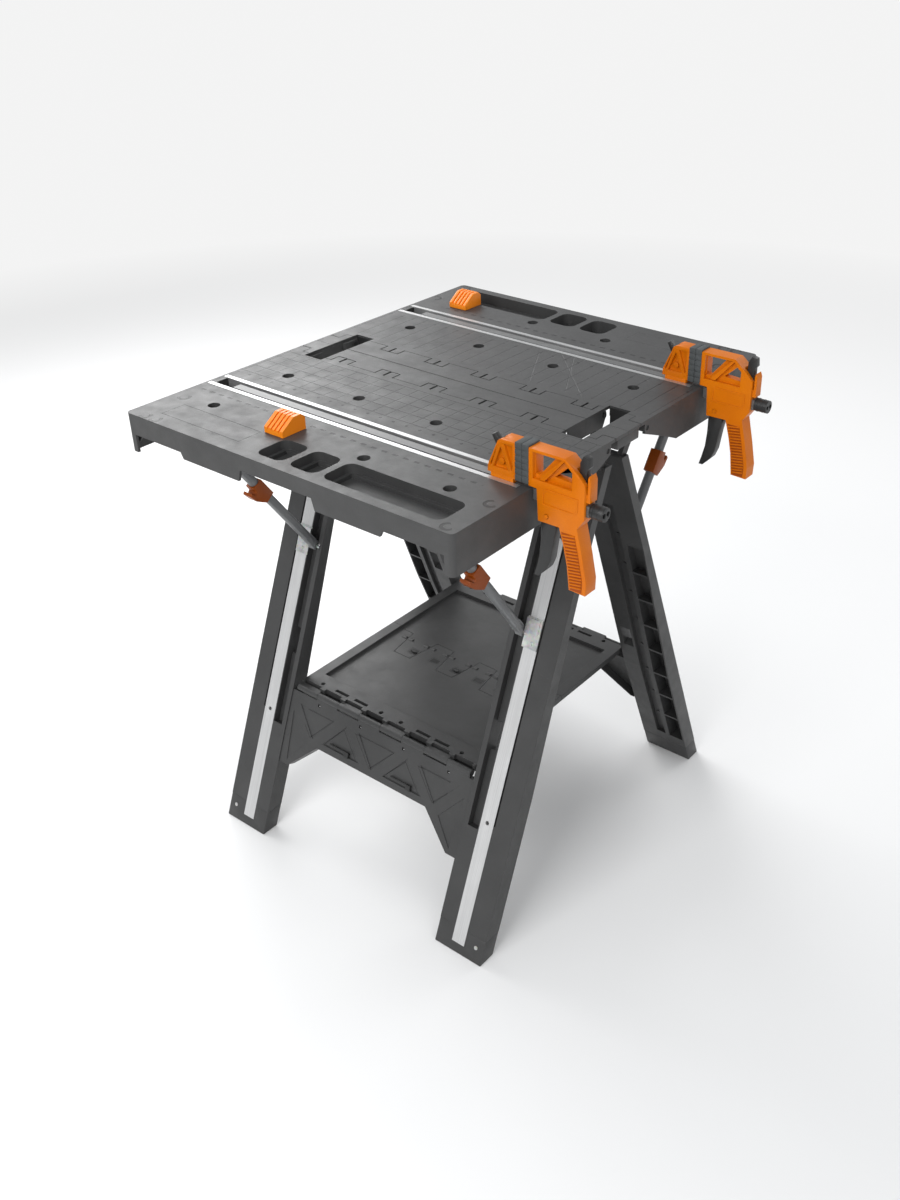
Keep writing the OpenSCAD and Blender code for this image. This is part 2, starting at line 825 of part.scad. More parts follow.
module shelf_panel(front) {
    side = front ? -1 : 1;
    color(plastic) difference() {
        union() {
            difference() {
                translate([0, 0, shelf_axis_h]) linear_extrude(shelf_t) shelf_shape(front);
                translate([0, 0, shelf_axis_h + shelf_floor_t]) linear_extrude(shelf_t) shelf_tray();
                translate([0, 0, shelf_axis_h - over]) linear_extrude(shelf_t + 2 * over) {
                    shelf_row_holes();
                    shelf_hinge_slots();
                }
            }
            mid_knuckles(front);
            shelf_end_knuckles(side);
        }
        mid_pins(mid_pin_r + (front ? pivot_clear : pivot_clear / 2), mid_knuckle_w + 8 * side_gap);
        rod_x(-leg_in, leg_in, side * shelf_reach, shelf_axis_h, shelf_rod_r + pivot_clear);
    }
}

module shelf_front() {
    shelf_panel(true);
}

module shelf_rear() {
    shelf_panel(false);
}

module shelf_rod_front() {
    color(steel) rod_x(-shelf_half, shelf_half, -shelf_reach, shelf_axis_h, shelf_rod_r);
}

module shelf_rod_rear() {
    color(steel) rod_x(-shelf_half, shelf_half, shelf_reach, shelf_axis_h, shelf_rod_r);
}

module shelf_mid_pins() {
    color(steel) mid_pins(mid_pin_r, mid_knuckle_w + 4 * side_gap);
}

// Table halves, drawn as the front one
wing_in = hinge_y + spine_gap / 2;
track_half = track_w / 2;
mouth_half = track_mouth / 2;
channel_half = mouth_half + track_wall;
flange_t = 3;
flange_low = table_height - flange_t;
track_low = table_height - track_drop;
track_lip = 0.4;
bar_axis_drop = 9.2;
bar_z = table_height - bar_axis_drop;
bar_gap = 2 * side_gap;
boss_wall = 4;
rib_low = table_height - rib_drop;
dog_row_outer = 297;
dog_row_inner = 145;
dog_rows = [dog_row_outer, dog_row_inner];
wing_bay_count = 8;
tray_wall = 3;
tray_low = rib_low + tray_wall;
tray_front = 375.5;
tray_back = 317;
tray_step = 6;
// Left and right ends of the three trays, as shares of half the table
tray_end_shares = [[-0.176, -0.013], [0.025, 0.189], [0.227, 0.888]];
tray_ends = [for (s = tray_end_shares) [s[0] * half_length, s[1] * half_length]];
tray_r = 14;

module round_area(x0, x1, y0, y1, r) {
    area(x0 + r, x1 - r, y0, y1);
    area(x0, x1, y0 + r, y1 - r);
    for (x = [x0 + r, x1 - r], y = [y0 + r, y1 - r]) translate([x, y]) circle(r);
}

module wing_outline() {
    round_area(-half_length, half_length, -half_depth, 0, table_corner_r);
}

module tray_area(i, grow) {
    round_area(tray_ends[i][0] - grow, tray_ends[i][1] + grow,
        -tray_front - grow, -tray_back + grow, tray_r + grow);
}

// The clamp slot, which opens at the same end on both halves
module slot_area(half, grow) {
    area(-track_left - grow, track_right + grow, -track_y - half - grow, -track_y + half + grow);
}

module bar_notch_area() {
    area(track_right, table_length, -track_y - bar_w / 2 - bar_gap, -track_y + bar_w / 2 + bar_gap);
}

module slot_side(flip) {
    mirror([flip ? 1 : 0, 0, 0]) children();
}

module wing_top_shape(flip) {
    difference() {
        intersection() {
            wing_outline();
            area(-half_length, half_length, -half_depth, -wing_in);
        }
        slot_side(flip) {
            slot_area(channel_half, seat);
            bar_notch_area();
        }
        both_sides() area(handle_hole_in, handle_hole_out, -handle_hole_half, 0);
        for (row = dog_rows, i = [-1.5 : 1 : 1.5])
            translate([dog_pitch * i, -row]) circle(dog_hole_d / 2);
        for (i = [0 : len(tray_ends) - 1]) tray_area(i, 0);
    }
}

module lug_areas() {
    for (i = [0 : lug_count - 1], s = [-1, 1]) {
        x = lug_centre(i) + s * (lug_gap + lug_w) / 2;
        area(x - lug_w / 2, x + lug_w / 2, -wing_in - over, -hinge_y + lug_reach);
    }
    both_sides() area(end_lug_in, half_length, -wing_in - over, -hinge_y + lug_reach);
}

module lug_knuckles() {
    for (i = [0 : lug_count - 1], s = [-1, 1]) {
        x = lug_centre(i) + s * (lug_gap + lug_w) / 2;
        rod_x(x - lug_w / 2, x + lug_w / 2, -hinge_y, hinge_z, knuckle_r);
        block(x - lug_w / 2, x + lug_w / 2, -hinge_y - knuckle_r - rib_drop, -hinge_y, hinge_z, top_under);
        block(x - lug_w / 2, x + lug_w / 2, -hinge_y, -hinge_y + knuckle_r, hinge_z, top_under);
    }
    both_sides() {
        rod_x(end_lug_in, half_length, -hinge_y, hinge_z, knuckle_r);
        block(end_lug_in, half_length, -hinge_y - knuckle_r - rib_drop, -hinge_y, hinge_z, top_under);
        block(end_lug_in, half_length, -hinge_y, -hinge_y + knuckle_r, hinge_z, top_under);
    }
}

// Side view of the long apron, as heights against X
apron_foot_x = foot_in;
apron_leg_x = leg_in - 2 * rib_t;
apron_step = 5;

module apron_side() {
    h = table_height;
    foot = h - apron_foot_drop;
    leg = h - apron_leg_drop;
    side = h - apron_side_drop;
    mid = h - apron_middle_drop;
    half_shape = [[0, mid], [apron_middle_half - apron_step, mid], [apron_middle_half, side],
        [apron_leg_x - apron_step, side], [apron_leg_x, leg], [apron_foot_x, leg],
        [apron_foot_x, foot], [half_length, foot], [half_length, h], [0, h]];
    both_sides() polygon(half_shape);
}

module long_apron() {
    intersection() {
        along_y(-half_depth, -half_depth + apron_wall) apron_side();
        linear_extrude(table_height) wing_outline();
    }
}

// End wall, deeper toward the outer corner
end_wall_shares = [[0.11, 0.32], [0.252, 0.69], [0.354, 0.984], [1, 1]];

module end_wall_area() {
    h = table_height;
    polygon([[-hinge_y - knuckle_r, h - rib_drop / 2],
        for (s = end_wall_shares) [-s[0] * half_depth, h - s[1] * apron_foot_drop],
        [-half_depth, h], [-hinge_y - knuckle_r, h]]);
}

module end_walls() {
    intersection() {
        both_sides() along_x(half_length - apron_wall, half_length) end_wall_area();
        linear_extrude(table_height) wing_outline();
    }
}

// Corner gussets that tie the apron feet to the end walls
module corner_feet() {
    foot = table_height - apron_foot_drop;
    intersection() {
        both_sides() for (y = [half_depth - 3 * apron_wall, half_depth - 8 * apron_wall])
            along_y(-y, -y + rib_t)
                polygon([[half_length, foot + apron_wall], [apron_foot_x, foot + 6 * apron_wall],
                    [apron_foot_x, table_height - over], [half_length, table_height - over]]);
        linear_extrude(table_height) wing_outline();
    }
}

module wing_ribs() {
    x_end = half_length - apron_wall / 2;
    rows = [track_y + channel_half + seat, track_y - channel_half - seat - rib_t,
        half_depth - 3 * rib_drop - rib_t, hinge_y + rib_drop + 3 * knuckle_r];
    z1 = top_under + over;
    for (y = rows) block(-x_end, x_end, -y - rib_t, -y, rib_low, z1);
    step = 2 * x_end / wing_bay_count;
    for (i = [1 : wing_bay_count - 1]) {
        x = -x_end + step * i - rib_t / 2;
        block(x, x + rib_t, -half_depth + apron_wall / 2, -track_y - channel_half, rib_low, z1);
        block(x, x + rib_t, -track_y + channel_half, -hinge_y - rib_drop - 2 * knuckle_r, rib_low, z1);
        block(x, x + rib_t, -track_y - channel_half - over, -track_y + channel_half + over,
            rib_low - rib_t, track_low - seat);
    }
}

module catch_pads() {
    both_sides() block(recess_in - rib_t, recess_out + rib_t, catch_y - 3 * catch_r, catch_y + 3 * catch_r,
        rib_low, top_under + over);
}

module wing_body(flip) {
    linear_extrude_z(top_under, table_height) {
        wing_top_shape(flip);
        lug_areas();
    }
    lug_knuckles();
    long_apron();
    end_walls();
    corner_feet();
    wing_ribs();
    catch_pads();
    for (row = dog_rows, i = [-1.5 : 1 : 1.5]) translate([dog_pitch * i, -row, rib_low])
        cylinder(h = top_under - rib_low + over, r = dog_hole_d / 2 + boss_wall);
    for (i = [0 : len(tray_ends) - 1])
        linear_extrude_z(tray_low - tray_wall, top_under + over) tray_area(i, tray_wall);
    // Wall at the table's side of the carry handle holes
    both_sides() block(handle_hole_in, end_knuckle_in - side_gap, -handle_hole_half - skirt_t,
        -handle_hole_half, hinge_z - knuckle_r / 2, top_under + over);
}

module linear_extrude_z(z0, z1) {
    translate([0, 0, z0]) linear_extrude(z1 - z0) children();
}

module wing_cuts(flip) {
    z1 = table_height + over;
    for (i = [0 : len(tray_ends) - 1]) {
        linear_extrude_z(tray_low, z1) difference() {
            tray_area(i, 0);
            area(tray_ends[i][0] - over, tray_ends[i][1] + over, -tray_back - tray_step, 0);
            area(tray_ends[i][0] - over, tray_ends[i][0] + tray_step, -half_depth, 0);
        }
        linear_extrude_z(tray_low + tray_step, z1) tray_area(i, 0);
    }
    for (row = dog_rows, i = [-1.5 : 1 : 1.5]) translate([dog_pitch * i, -row, 0])
        cylinder(h = z1, r = dog_hole_d / 2);
    slot_side(flip) {
        linear_extrude_z(track_low - seat, z1) slot_area(channel_half, seat);
        linear_extrude_z(flange_low - seat, z1) slot_area(track_half, seat);
        linear_extrude_z(bar_z - bar_h / 2 - bar_gap, z1) bar_notch_area();
    }
    rod_x(-table_length, table_length, -hinge_y, hinge_z, rod_bore_r);
}

module table_half(flip) {
    color(plastic) difference() {
        wing_body(flip);
        wing_cuts(flip);
    }
}

module front_table() {
    table_half(false);
}

module rear_table() {
    rear() table_half(true);
}

// Aluminium track: a channel with a wide rim on both sides
module front_track() {
    color(steel) difference() {
        union() {
            block(-track_left, track_right, -track_y - channel_half, -track_y + channel_half,
                track_low, table_height);
            block(-track_left, track_right, -track_y - track_half, -track_y + track_half,
                flange_low, table_height + track_lip);
        }
        block(-track_left - over, track_right + over, -track_y - mouth_half, -track_y + mouth_half,
            track_low + track_wall / 2, table_height + over);
    }
}

// The rear track and clamp mirror the front ones, so both clamps sit at one end
module across() {
    mirror([0, 1, 0]) children();
}

module rear_track() {
    across() front_track();
}

// Black plug in the left end of a track
track_plug_l = 9;

module front_track_ends() {
    half = mouth_half - seat;
    color("black") block(-track_left + seat, -track_left + track_plug_l, -track_y - half, -track_y + half,
        track_low + track_wall / 2 + seat, table_height);
}

module rear_track_ends() {
    across() front_track_ends();
}

// Steel catches under the table that the struts hook on
catch_cheek_t = 1.8;
catch_cheek_gap = strut_plate_w / 2 + seat / 2;

module strut_catch() {
    plate_top = rib_low - seat;
    out = catch_cheek_gap + catch_cheek_t;
    difference() {
        block(strut_x - out, strut_x + out, catch_y - 3 * catch_r, catch_y + 3 * catch_r,
            catch_h - 2 * catch_r, plate_top);
        block(strut_x - catch_cheek_gap, strut_x + catch_cheek_gap, catch_y - 4 * catch_r,
            catch_y + 4 * catch_r, 0, plate_top - catch_cheek_t);
    }
    rod_x(strut_x - out + over / 2, strut_x + out - over / 2, catch_y, catch_h, catch_r);
}

module front_catches() {
    color(steel) both_sides() strut_catch();
}

module rear_catches() {
    rear() front_catches();
}

// Struts, drawn along Z from their lower pivot
eye_r = 8.5;
hook_r = 9;
hook_clear = 0.3;
neck_l = 30;
neck_w = 14;
slot_rise = 6.4;
slot_flare = 12;

module on_strut() {
    translate([strut_x, strut_pivot_y, strut_pivot_h]) rotate([90 - strut_rise, 0, 0]) children();
}

module strut_plate(z0, z1, r, z) {
    along_x(-strut_plate_w / 2, strut_plate_w / 2) {
        area(-neck_w / 2, neck_w / 2, z0, z1);
        translate([0, z]) circle(r);
    }
}

module hook_slot() {
    r = catch_r + hook_clear;
    length = 2 * hook_r;
    translate([0, 0, strut_length]) {
        rod_x(-strut_d, strut_d, 0, 0, r);
        rotate([slot_rise - (90 - strut_rise), 0, 0]) along_x(-strut_d, strut_d)
            polygon([[0, -r], [length, -r - length * tan(slot_flare / 4)],
                [length, r + length * tan(slot_flare)], [0, r]]);
    }
}

module strut_shape() {
    color("gray") on_strut() difference() {
        union() {
            translate([0, 0, neck_l / 2]) cylinder(h = strut_length - 1.3 * neck_l, r = strut_r);
            strut_plate(0, neck_l, eye_r, 0);
            strut_plate(strut_length - neck_l, strut_length, hook_r, strut_length);
        }
        rod_x(-strut_d, strut_d, 0, 0, pin_r + pivot_clear);
        hook_slot();
    }
}

module strut_front_right() {
    strut_shape();
}

module strut_front_left() {
    mirror([1, 0, 0]) strut_shape();
}

module strut_rear_left() {
    rear() strut_shape();
}

module strut_rear_right() {
    rear() mirror([1, 0, 0]) strut_shape();
}

// Orange clips on the struts, as shares of reach and length
clip_shares = [[0.41, -0.46], [0.41, 0.46], [-0.43, 0.5], [-0.46, 0.25], [-0.68, 0.2], [-0.8, 0.42],
    [-1, 0.36], [-0.93, 0], [-0.64, -0.3], [-0.43, -0.5]];

module clip_shape() {
    color(orange) on_strut() difference() {
        translate([0, 0, clip_at]) along_x(-clip_half_w, clip_half_w)
            polygon([for (s = clip_shares) [s[0] * clip_reach, s[1] * clip_length]]);
        cylinder(h = strut_length, r = strut_r + pivot_clear / 2);
    }
}

module clip_front_right() {
    clip_shape();
}

module clip_front_left() {
    mirror([1, 0, 0]) clip_shape();
}

module clip_rear_left() {
    rear() clip_shape();
}

module clip_rear_right() {
    rear() mirror([1, 0, 0]) clip_shape();
}

// Clamp castings, whose outlines are shares of the length and height of the body
casting_l = 92;
casting_h = 103;
casting_drop = 49;
casting_x = pad_meet_x + pad_t + side_gap / 2 + seat;
casting_z = table_height - casting_drop;
half_clamp = clamp_w / 2;
bar_fit = 0.1;
lever_pin_r = 2.5;
trigger_w = 15;
trigger_pin_r = 3;
trigger_eye_r = 8;
release_w = 10;
fork_gap = 0.5;
body_shares = [[0, 0.51], [0, 1.034], [0.625, 1.034], [0.868, 0.85], [0.967, 0.75], [0.967, 0.272],
    [0.85, 0.12], [0.951, -0.263], [1.03, -0.62], [1.022, -0.81], [0.735, -0.8], [0.69, -0.45],
    [0.625, -0.19], [0.543, 0.06], [0.17, 0.055], [0.141, 0.505]];
casting_web = 12;
recess_shares = [[0.07, 0.626], [0.07, 0.995], [0.603, 0.995], [0.75, 0.87], [0.75, 0.626]];
window_a_shares = [[0.081, 0.68], [0.081, 0.985], [0.441, 0.985], [0.156, 0.68]];
window_b_shares = [[0.417, 0.714], [0.641, 0.897], [0.74, 0.82], [0.731, 0.698]];
brace_shares = [[0.213, 0.687], [0.573, 1], [0.621, 1], [0.28, 0.64], [0.2, 0.64]];
fin_shares = [[0.9, 0.51], [1.03, 0.51], [1.03, 0.8], [1, 0.874], [0.985, 0.83], [0.985, 0.62],
    [0.9, 0.6]];
fin_half = 8;
trigger_shares = [[0.189, 0], [0.25, 0.1], [0.38, 0.1], [0.461, 0], [0.417, -0.184], [0.363, -0.505],
    [0.298, -0.65], [0.146, -0.796], [0.07, -0.796], [0.113, -0.67], [0.167, -0.466], [0.189, -0.233]];
trigger_pivot_shares = [0.32, 0.155];
release_shares = [[0.826, 1.01], [0.88, 1.107], [0.967, 1.087], [0.98, 0.97], [0.945, 0.93],
    [0.945, 0.72], [0.859, 0.72], [0.826, 0.796]];
release_pivot_shares = [0.902, 0.777];

function casting_at(share) = [casting_x + share[0] * casting_l, casting_z + share[1] * casting_h];
function casting_points(shares) = [for (s = shares) casting_at(s)];

module on_track() {
    translate([0, -track_y, 0]) children();
}

module casting_pin(share, r, half) {
    at = casting_at(share);
    rod_y(at[0], -half, half, at[1], r);
}

module bar_block(x0, x1, gap) {
    block(x0, x1, -bar_w / 2 - gap, bar_w / 2 + gap, bar_z - bar_h / 2 - gap, bar_z + bar_h / 2 + gap);
}

module front_clamp_body() {
    trigger_at = casting_at(trigger_pivot_shares);
    release_at = casting_at(release_pivot_shares);
    trigger_half = trigger_w / 2 + fork_gap;
    release_half = release_w / 2 + fork_gap;
    slot_l = 2 * trigger_eye_r + 5 * fork_gap;
    color(orange) on_track() {
        difference() {
            union() {
                difference() {
                    along_y(-half_clamp, half_clamp) polygon(casting_points(body_shares));
                    for (s = [-1, 1]) translate([0, s * (casting_web + clamp_w) / 2, 0])
                        along_y(-half_clamp, half_clamp) polygon(casting_points(recess_shares));
                    along_y(-clamp_w, clamp_w) polygon(casting_points(window_a_shares));
                    along_y(-clamp_w, clamp_w) polygon(casting_points(window_b_shares));
                }
                along_y(-half_clamp + side_gap, half_clamp - side_gap) polygon(casting_points(brace_shares));
                along_y(-fin_half, fin_half) polygon(casting_points(fin_shares));
            }
            bar_block(casting_x - over, bar_right + over, bar_fit);
            block(casting_x, trigger_at[0] + slot_l, -trigger_half, trigger_half,
                casting_z - over, trigger_at[1] + trigger_eye_r + fork_gap);
            block(release_at[0] - trigger_eye_r - 8 * fork_gap, release_at[0] + trigger_eye_r - fork_gap,
                -release_half, release_half, release_at[1] - trigger_eye_r, release_at[1] + casting_h);
        }
        casting_pin(trigger_pivot_shares, trigger_pin_r, trigger_half + over);
        casting_pin(release_pivot_shares, lever_pin_r, release_half + over);
    }
}

module front_clamp_trigger() {
    color("black") on_track() difference() {
        union() {
            along_y(-trigger_w / 2, trigger_w / 2) polygon(casting_points(trigger_shares));
            casting_pin(trigger_pivot_shares, trigger_eye_r, trigger_w / 2);
        }
        casting_pin(trigger_pivot_shares, trigger_pin_r + pivot_clear, trigger_w);
    }
}

module front_clamp_release() {
    color("black") on_track() difference() {
        along_y(-release_w / 2, release_w / 2) polygon(casting_points(release_shares));
        casting_pin(release_pivot_shares, lever_pin_r + pivot_clear, release_w);
    }
}

module front_clamp_bar() {
    color(steel) on_track() bar_block(-bar_left, bar_right, 0);
}

module front_clamp_knob() {
    x0 = bar_right + seat;
    r = bar_knob_d / 2;
    color("black") on_track() difference() {
        rod_x(x0, x0 + bar_knob_l, 0, bar_z, r);
        for (s = [-1, 1])
            rod_x(x0 + bar_knob_l - r / 2, x0 + bar_knob_l + over, s * r / 2.2, bar_z, r / 3);
    }
}

pad_groove_count = 6;
pad_groove_w = 2;

module clamp_pad(x0) {
    z0 = table_height + pad_lift;
    z1 = table_height + pad_rise;
    step = (z1 - z0) / pad_groove_count;
    color("darkslategray") on_track() difference() {
        block(x0, x0 + pad_t, -pad_w / 2, pad_w / 2, z0, z1);
        for (i = [1 : pad_groove_count - 1], s = [-1, 1]) {
            y = s * (pad_w / 2 + pad_groove_w / 2);
            block(x0 - over, x0 + pad_t + over, min(y, y - s * pad_groove_w), max(y, y - s * pad_groove_w),
                z0 + step * i - pad_groove_w / 2, z0 + step * i + pad_groove_w / 2);
        }
    }
}

module front_clamp_pad() {
    clamp_pad(pad_meet_x + side_gap / 2);
}

module front_jaw_pad() {
    clamp_pad(pad_meet_x - side_gap / 2 - pad_t);
}

// Sliding jaw, whose outline is shares of its own length and height
jaw_l = 46.5;
jaw_h = 52;
jaw_x = pad_meet_x - side_gap / 2 - pad_t - seat - jaw_l;
jaw_z = table_height + pad_lift + side_gap;
jaw_web = 15;
jaw_foot_in = 6;
jaw_bar_gap = 0.3;
jaw_lever_w = 8;
jaw_shares = [[0, 0], [0.02, 0.2], [0.39, 0.94], [0.5, 1], [1, 1], [1, 0]];
jaw_pocket_shares = [[[0.22, 0.18], [0.48, 0.78], [0.76, 0.18]],
    [[0.6, 0.88], [0.9, 0.88], [0.9, 0.2], [0.86, 0.2]], [[0.09, 0.2], [0.38, 0.82], [0.14, 0.2]]];
jaw_boss_shares = [0.5, 0.38];
jaw_boss_r = 4.5;
jaw_lever_shares = [[0.03, 0.97], [0.16, 1.03], [0.51, 0.71], [0.46, 0.51], [0.29, 0.55]];
jaw_pivot_shares = [0.4, 0.61];

function jaw_at(share) = [jaw_x + share[0] * jaw_l, jaw_z + share[1] * jaw_h];
function jaw_points(shares) = [for (s = shares) jaw_at(s)];

module front_jaw() {
    at = jaw_at(jaw_pivot_shares);
    boss = jaw_at(jaw_boss_shares);
    foot_half = mouth_half - side_gap;
    lever_half = jaw_lever_w / 2 + fork_gap;
    color(orange) on_track() {
        difference() {
            union() {
                along_y(-half_clamp, half_clamp) polygon(jaw_points(jaw_shares));
                block(jaw_x + jaw_foot_in, jaw_x + jaw_l - jaw_foot_in / 2, -foot_half, foot_half,
                    track_low + track_wall / 2 + side_gap, jaw_z);
                block(jaw_x + jaw_foot_in, jaw_x + jaw_l - jaw_foot_in / 2, -half_clamp, half_clamp,
                    jaw_z - over, jaw_z + over);
            }
            for (shares = jaw_pocket_shares, s = [-1, 1])
                along_y(s > 0 ? jaw_web / 2 : -clamp_w, s > 0 ? clamp_w : -jaw_web / 2)
                    polygon(jaw_points(shares));
            bar_block(-table_length, table_length, jaw_bar_gap);
            block(jaw_x - over, at[0] + jaw_lever_w / 2 + 3 * fork_gap, -lever_half, lever_half,
                at[1] - jaw_lever_w / 2 - 3 * fork_gap, jaw_z + 2 * jaw_h);
        }
        rod_y(at[0], -lever_half - over, lever_half + over, at[1], lever_pin_r);
        rod_y(boss[0], -half_clamp + 2 * side_gap, half_clamp - 2 * side_gap, boss[1], jaw_boss_r);
    }
}

module front_jaw_lever() {
    at = jaw_at(jaw_pivot_shares);
    color("black") on_track() difference() {
        union() {
            along_y(-jaw_lever_w / 2, jaw_lever_w / 2) polygon(jaw_points(jaw_lever_shares));
            rod_y(at[0], -jaw_lever_w / 2, jaw_lever_w / 2, at[1], jaw_lever_w / 2 + fork_gap);
        }
        rod_y(at[0], -jaw_lever_w, jaw_lever_w, at[1], lever_pin_r + pivot_clear);
    }
}

module rear_jaw() {
    across() front_jaw();
}

module rear_jaw_pad() {
    across() front_jaw_pad();
}

module rear_jaw_lever() {
    across() front_jaw_lever();
}

module rear_clamp_body() {
    across() front_clamp_body();
}

module rear_clamp_pad() {
    across() front_clamp_pad();
}

module rear_clamp_bar() {
    across() front_clamp_bar();
}

module rear_clamp_knob() {
    across() front_clamp_knob();
}

module rear_clamp_trigger() {
    across() front_clamp_trigger();
}

module rear_clamp_release() {
    across() front_clamp_release();
}

// Bench dogs
dog_stem_l = 20;
dog_ridge_count = 5;
dog_groove_w = 3;
dog_shares = [[-0.5, 0], [0.5, 0], [0.5, 0.75], [0.34, 1], [0.02, 1], [-0.5, 0.36]];
dog_groove_shares = [[-0.6, 0.2], [-0.42, 0.3], [0.05, 0.86], [0.3, 0.86], [0.3, 1.2], [-0.6, 1.2]];

function dog_points(shares) = [for (s = shares) [s[0] * dog_head_w, s[1] * dog_head_h]];

module dog(x, y) {
    pitch = dog_head_l / dog_ridge_count;
    color(orange) translate([x, y, table_height + seat]) {
        difference() {
            along_x(-dog_head_l / 2, dog_head_l / 2) polygon(dog_points(dog_shares));
            for (i = [1 : dog_ridge_count - 1]) translate([-dog_head_l / 2 + pitch * i, 0, 0])
                along_x(-dog_groove_w / 2, dog_groove_w / 2) polygon(dog_points(dog_groove_shares));
        }
        translate([0, 0, -dog_stem_l]) cylinder(h = dog_stem_l + over, r = dog_hole_d / 2 - dog_clear);
    }
}

module front_dog() {
    dog(-dog_pitch / 2, -dog_rows[0]);
}

module rear_dog() {
    dog(-dog_pitch * 1.5, dog_rows[0]);
}

spine_beam();
spine_cover_front();
spine_cover_rear();
handle_left();
handle_right();
hinge_rod_front();
hinge_rod_rear();
front_leg_left();
front_leg_right();
front_cross_panel();
front_leg_strips();
front_foot_caps();
front_strut_brackets();
rear_leg_left();
rear_leg_right();
rear_cross_panel();
rear_leg_strips();
rear_foot_caps();
rear_strut_brackets();
shelf_front();
shelf_rear();
shelf_rod_front();
shelf_rod_rear();
shelf_mid_pins();
front_table();
front_track();
front_track_ends();
front_catches();
rear_table();
rear_track();
rear_track_ends();
rear_catches();
strut_front_left();
strut_front_right();
strut_rear_left();
strut_rear_right();
clip_front_left();
clip_front_right();
clip_rear_left();
clip_rear_right();
front_jaw();
front_jaw_pad();
front_jaw_lever();
front_clamp_body();
front_clamp_pad();
front_clamp_bar();
front_clamp_knob();
front_clamp_trigger();
front_clamp_release();
rear_jaw();
rear_jaw_pad();
rear_jaw_lever();
rear_clamp_body();
rear_clamp_pad();
rear_clamp_bar();
rear_clamp_knob();
rear_clamp_trigger();
rear_clamp_release();
front_dog();
rear_dog();
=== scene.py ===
"""Folding workbench: looks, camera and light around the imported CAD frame."""
import json
import math

import bmesh
import bpy
from mathutils import Matrix, Vector


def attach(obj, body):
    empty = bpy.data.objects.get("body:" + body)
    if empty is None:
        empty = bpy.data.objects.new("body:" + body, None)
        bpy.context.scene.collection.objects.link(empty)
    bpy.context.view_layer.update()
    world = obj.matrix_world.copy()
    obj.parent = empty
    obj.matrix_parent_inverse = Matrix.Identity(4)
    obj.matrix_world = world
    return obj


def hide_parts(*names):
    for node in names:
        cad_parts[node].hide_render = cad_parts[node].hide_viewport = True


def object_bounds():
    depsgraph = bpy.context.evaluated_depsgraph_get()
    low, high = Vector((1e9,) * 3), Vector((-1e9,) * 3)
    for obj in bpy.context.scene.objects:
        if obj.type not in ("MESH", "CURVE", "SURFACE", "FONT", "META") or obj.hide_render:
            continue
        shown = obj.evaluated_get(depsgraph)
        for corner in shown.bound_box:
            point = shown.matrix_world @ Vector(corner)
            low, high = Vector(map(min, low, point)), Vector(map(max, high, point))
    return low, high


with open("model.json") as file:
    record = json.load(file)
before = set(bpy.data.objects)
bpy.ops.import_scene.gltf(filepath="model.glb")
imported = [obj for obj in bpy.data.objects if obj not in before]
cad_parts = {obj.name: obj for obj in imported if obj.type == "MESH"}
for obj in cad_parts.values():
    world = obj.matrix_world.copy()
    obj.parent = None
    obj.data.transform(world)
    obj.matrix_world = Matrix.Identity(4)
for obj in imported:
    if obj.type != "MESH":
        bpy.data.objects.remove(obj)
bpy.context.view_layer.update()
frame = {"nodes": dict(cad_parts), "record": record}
MM = 0.001
nodes = frame["nodes"]
node_body = {n: b for b, ns in frame["record"]["behaviour"]["bodies"].items() for n in ns}


# Materials. A mark fades out over the soft rim, in metres
SOFT_RIM = 0.0005


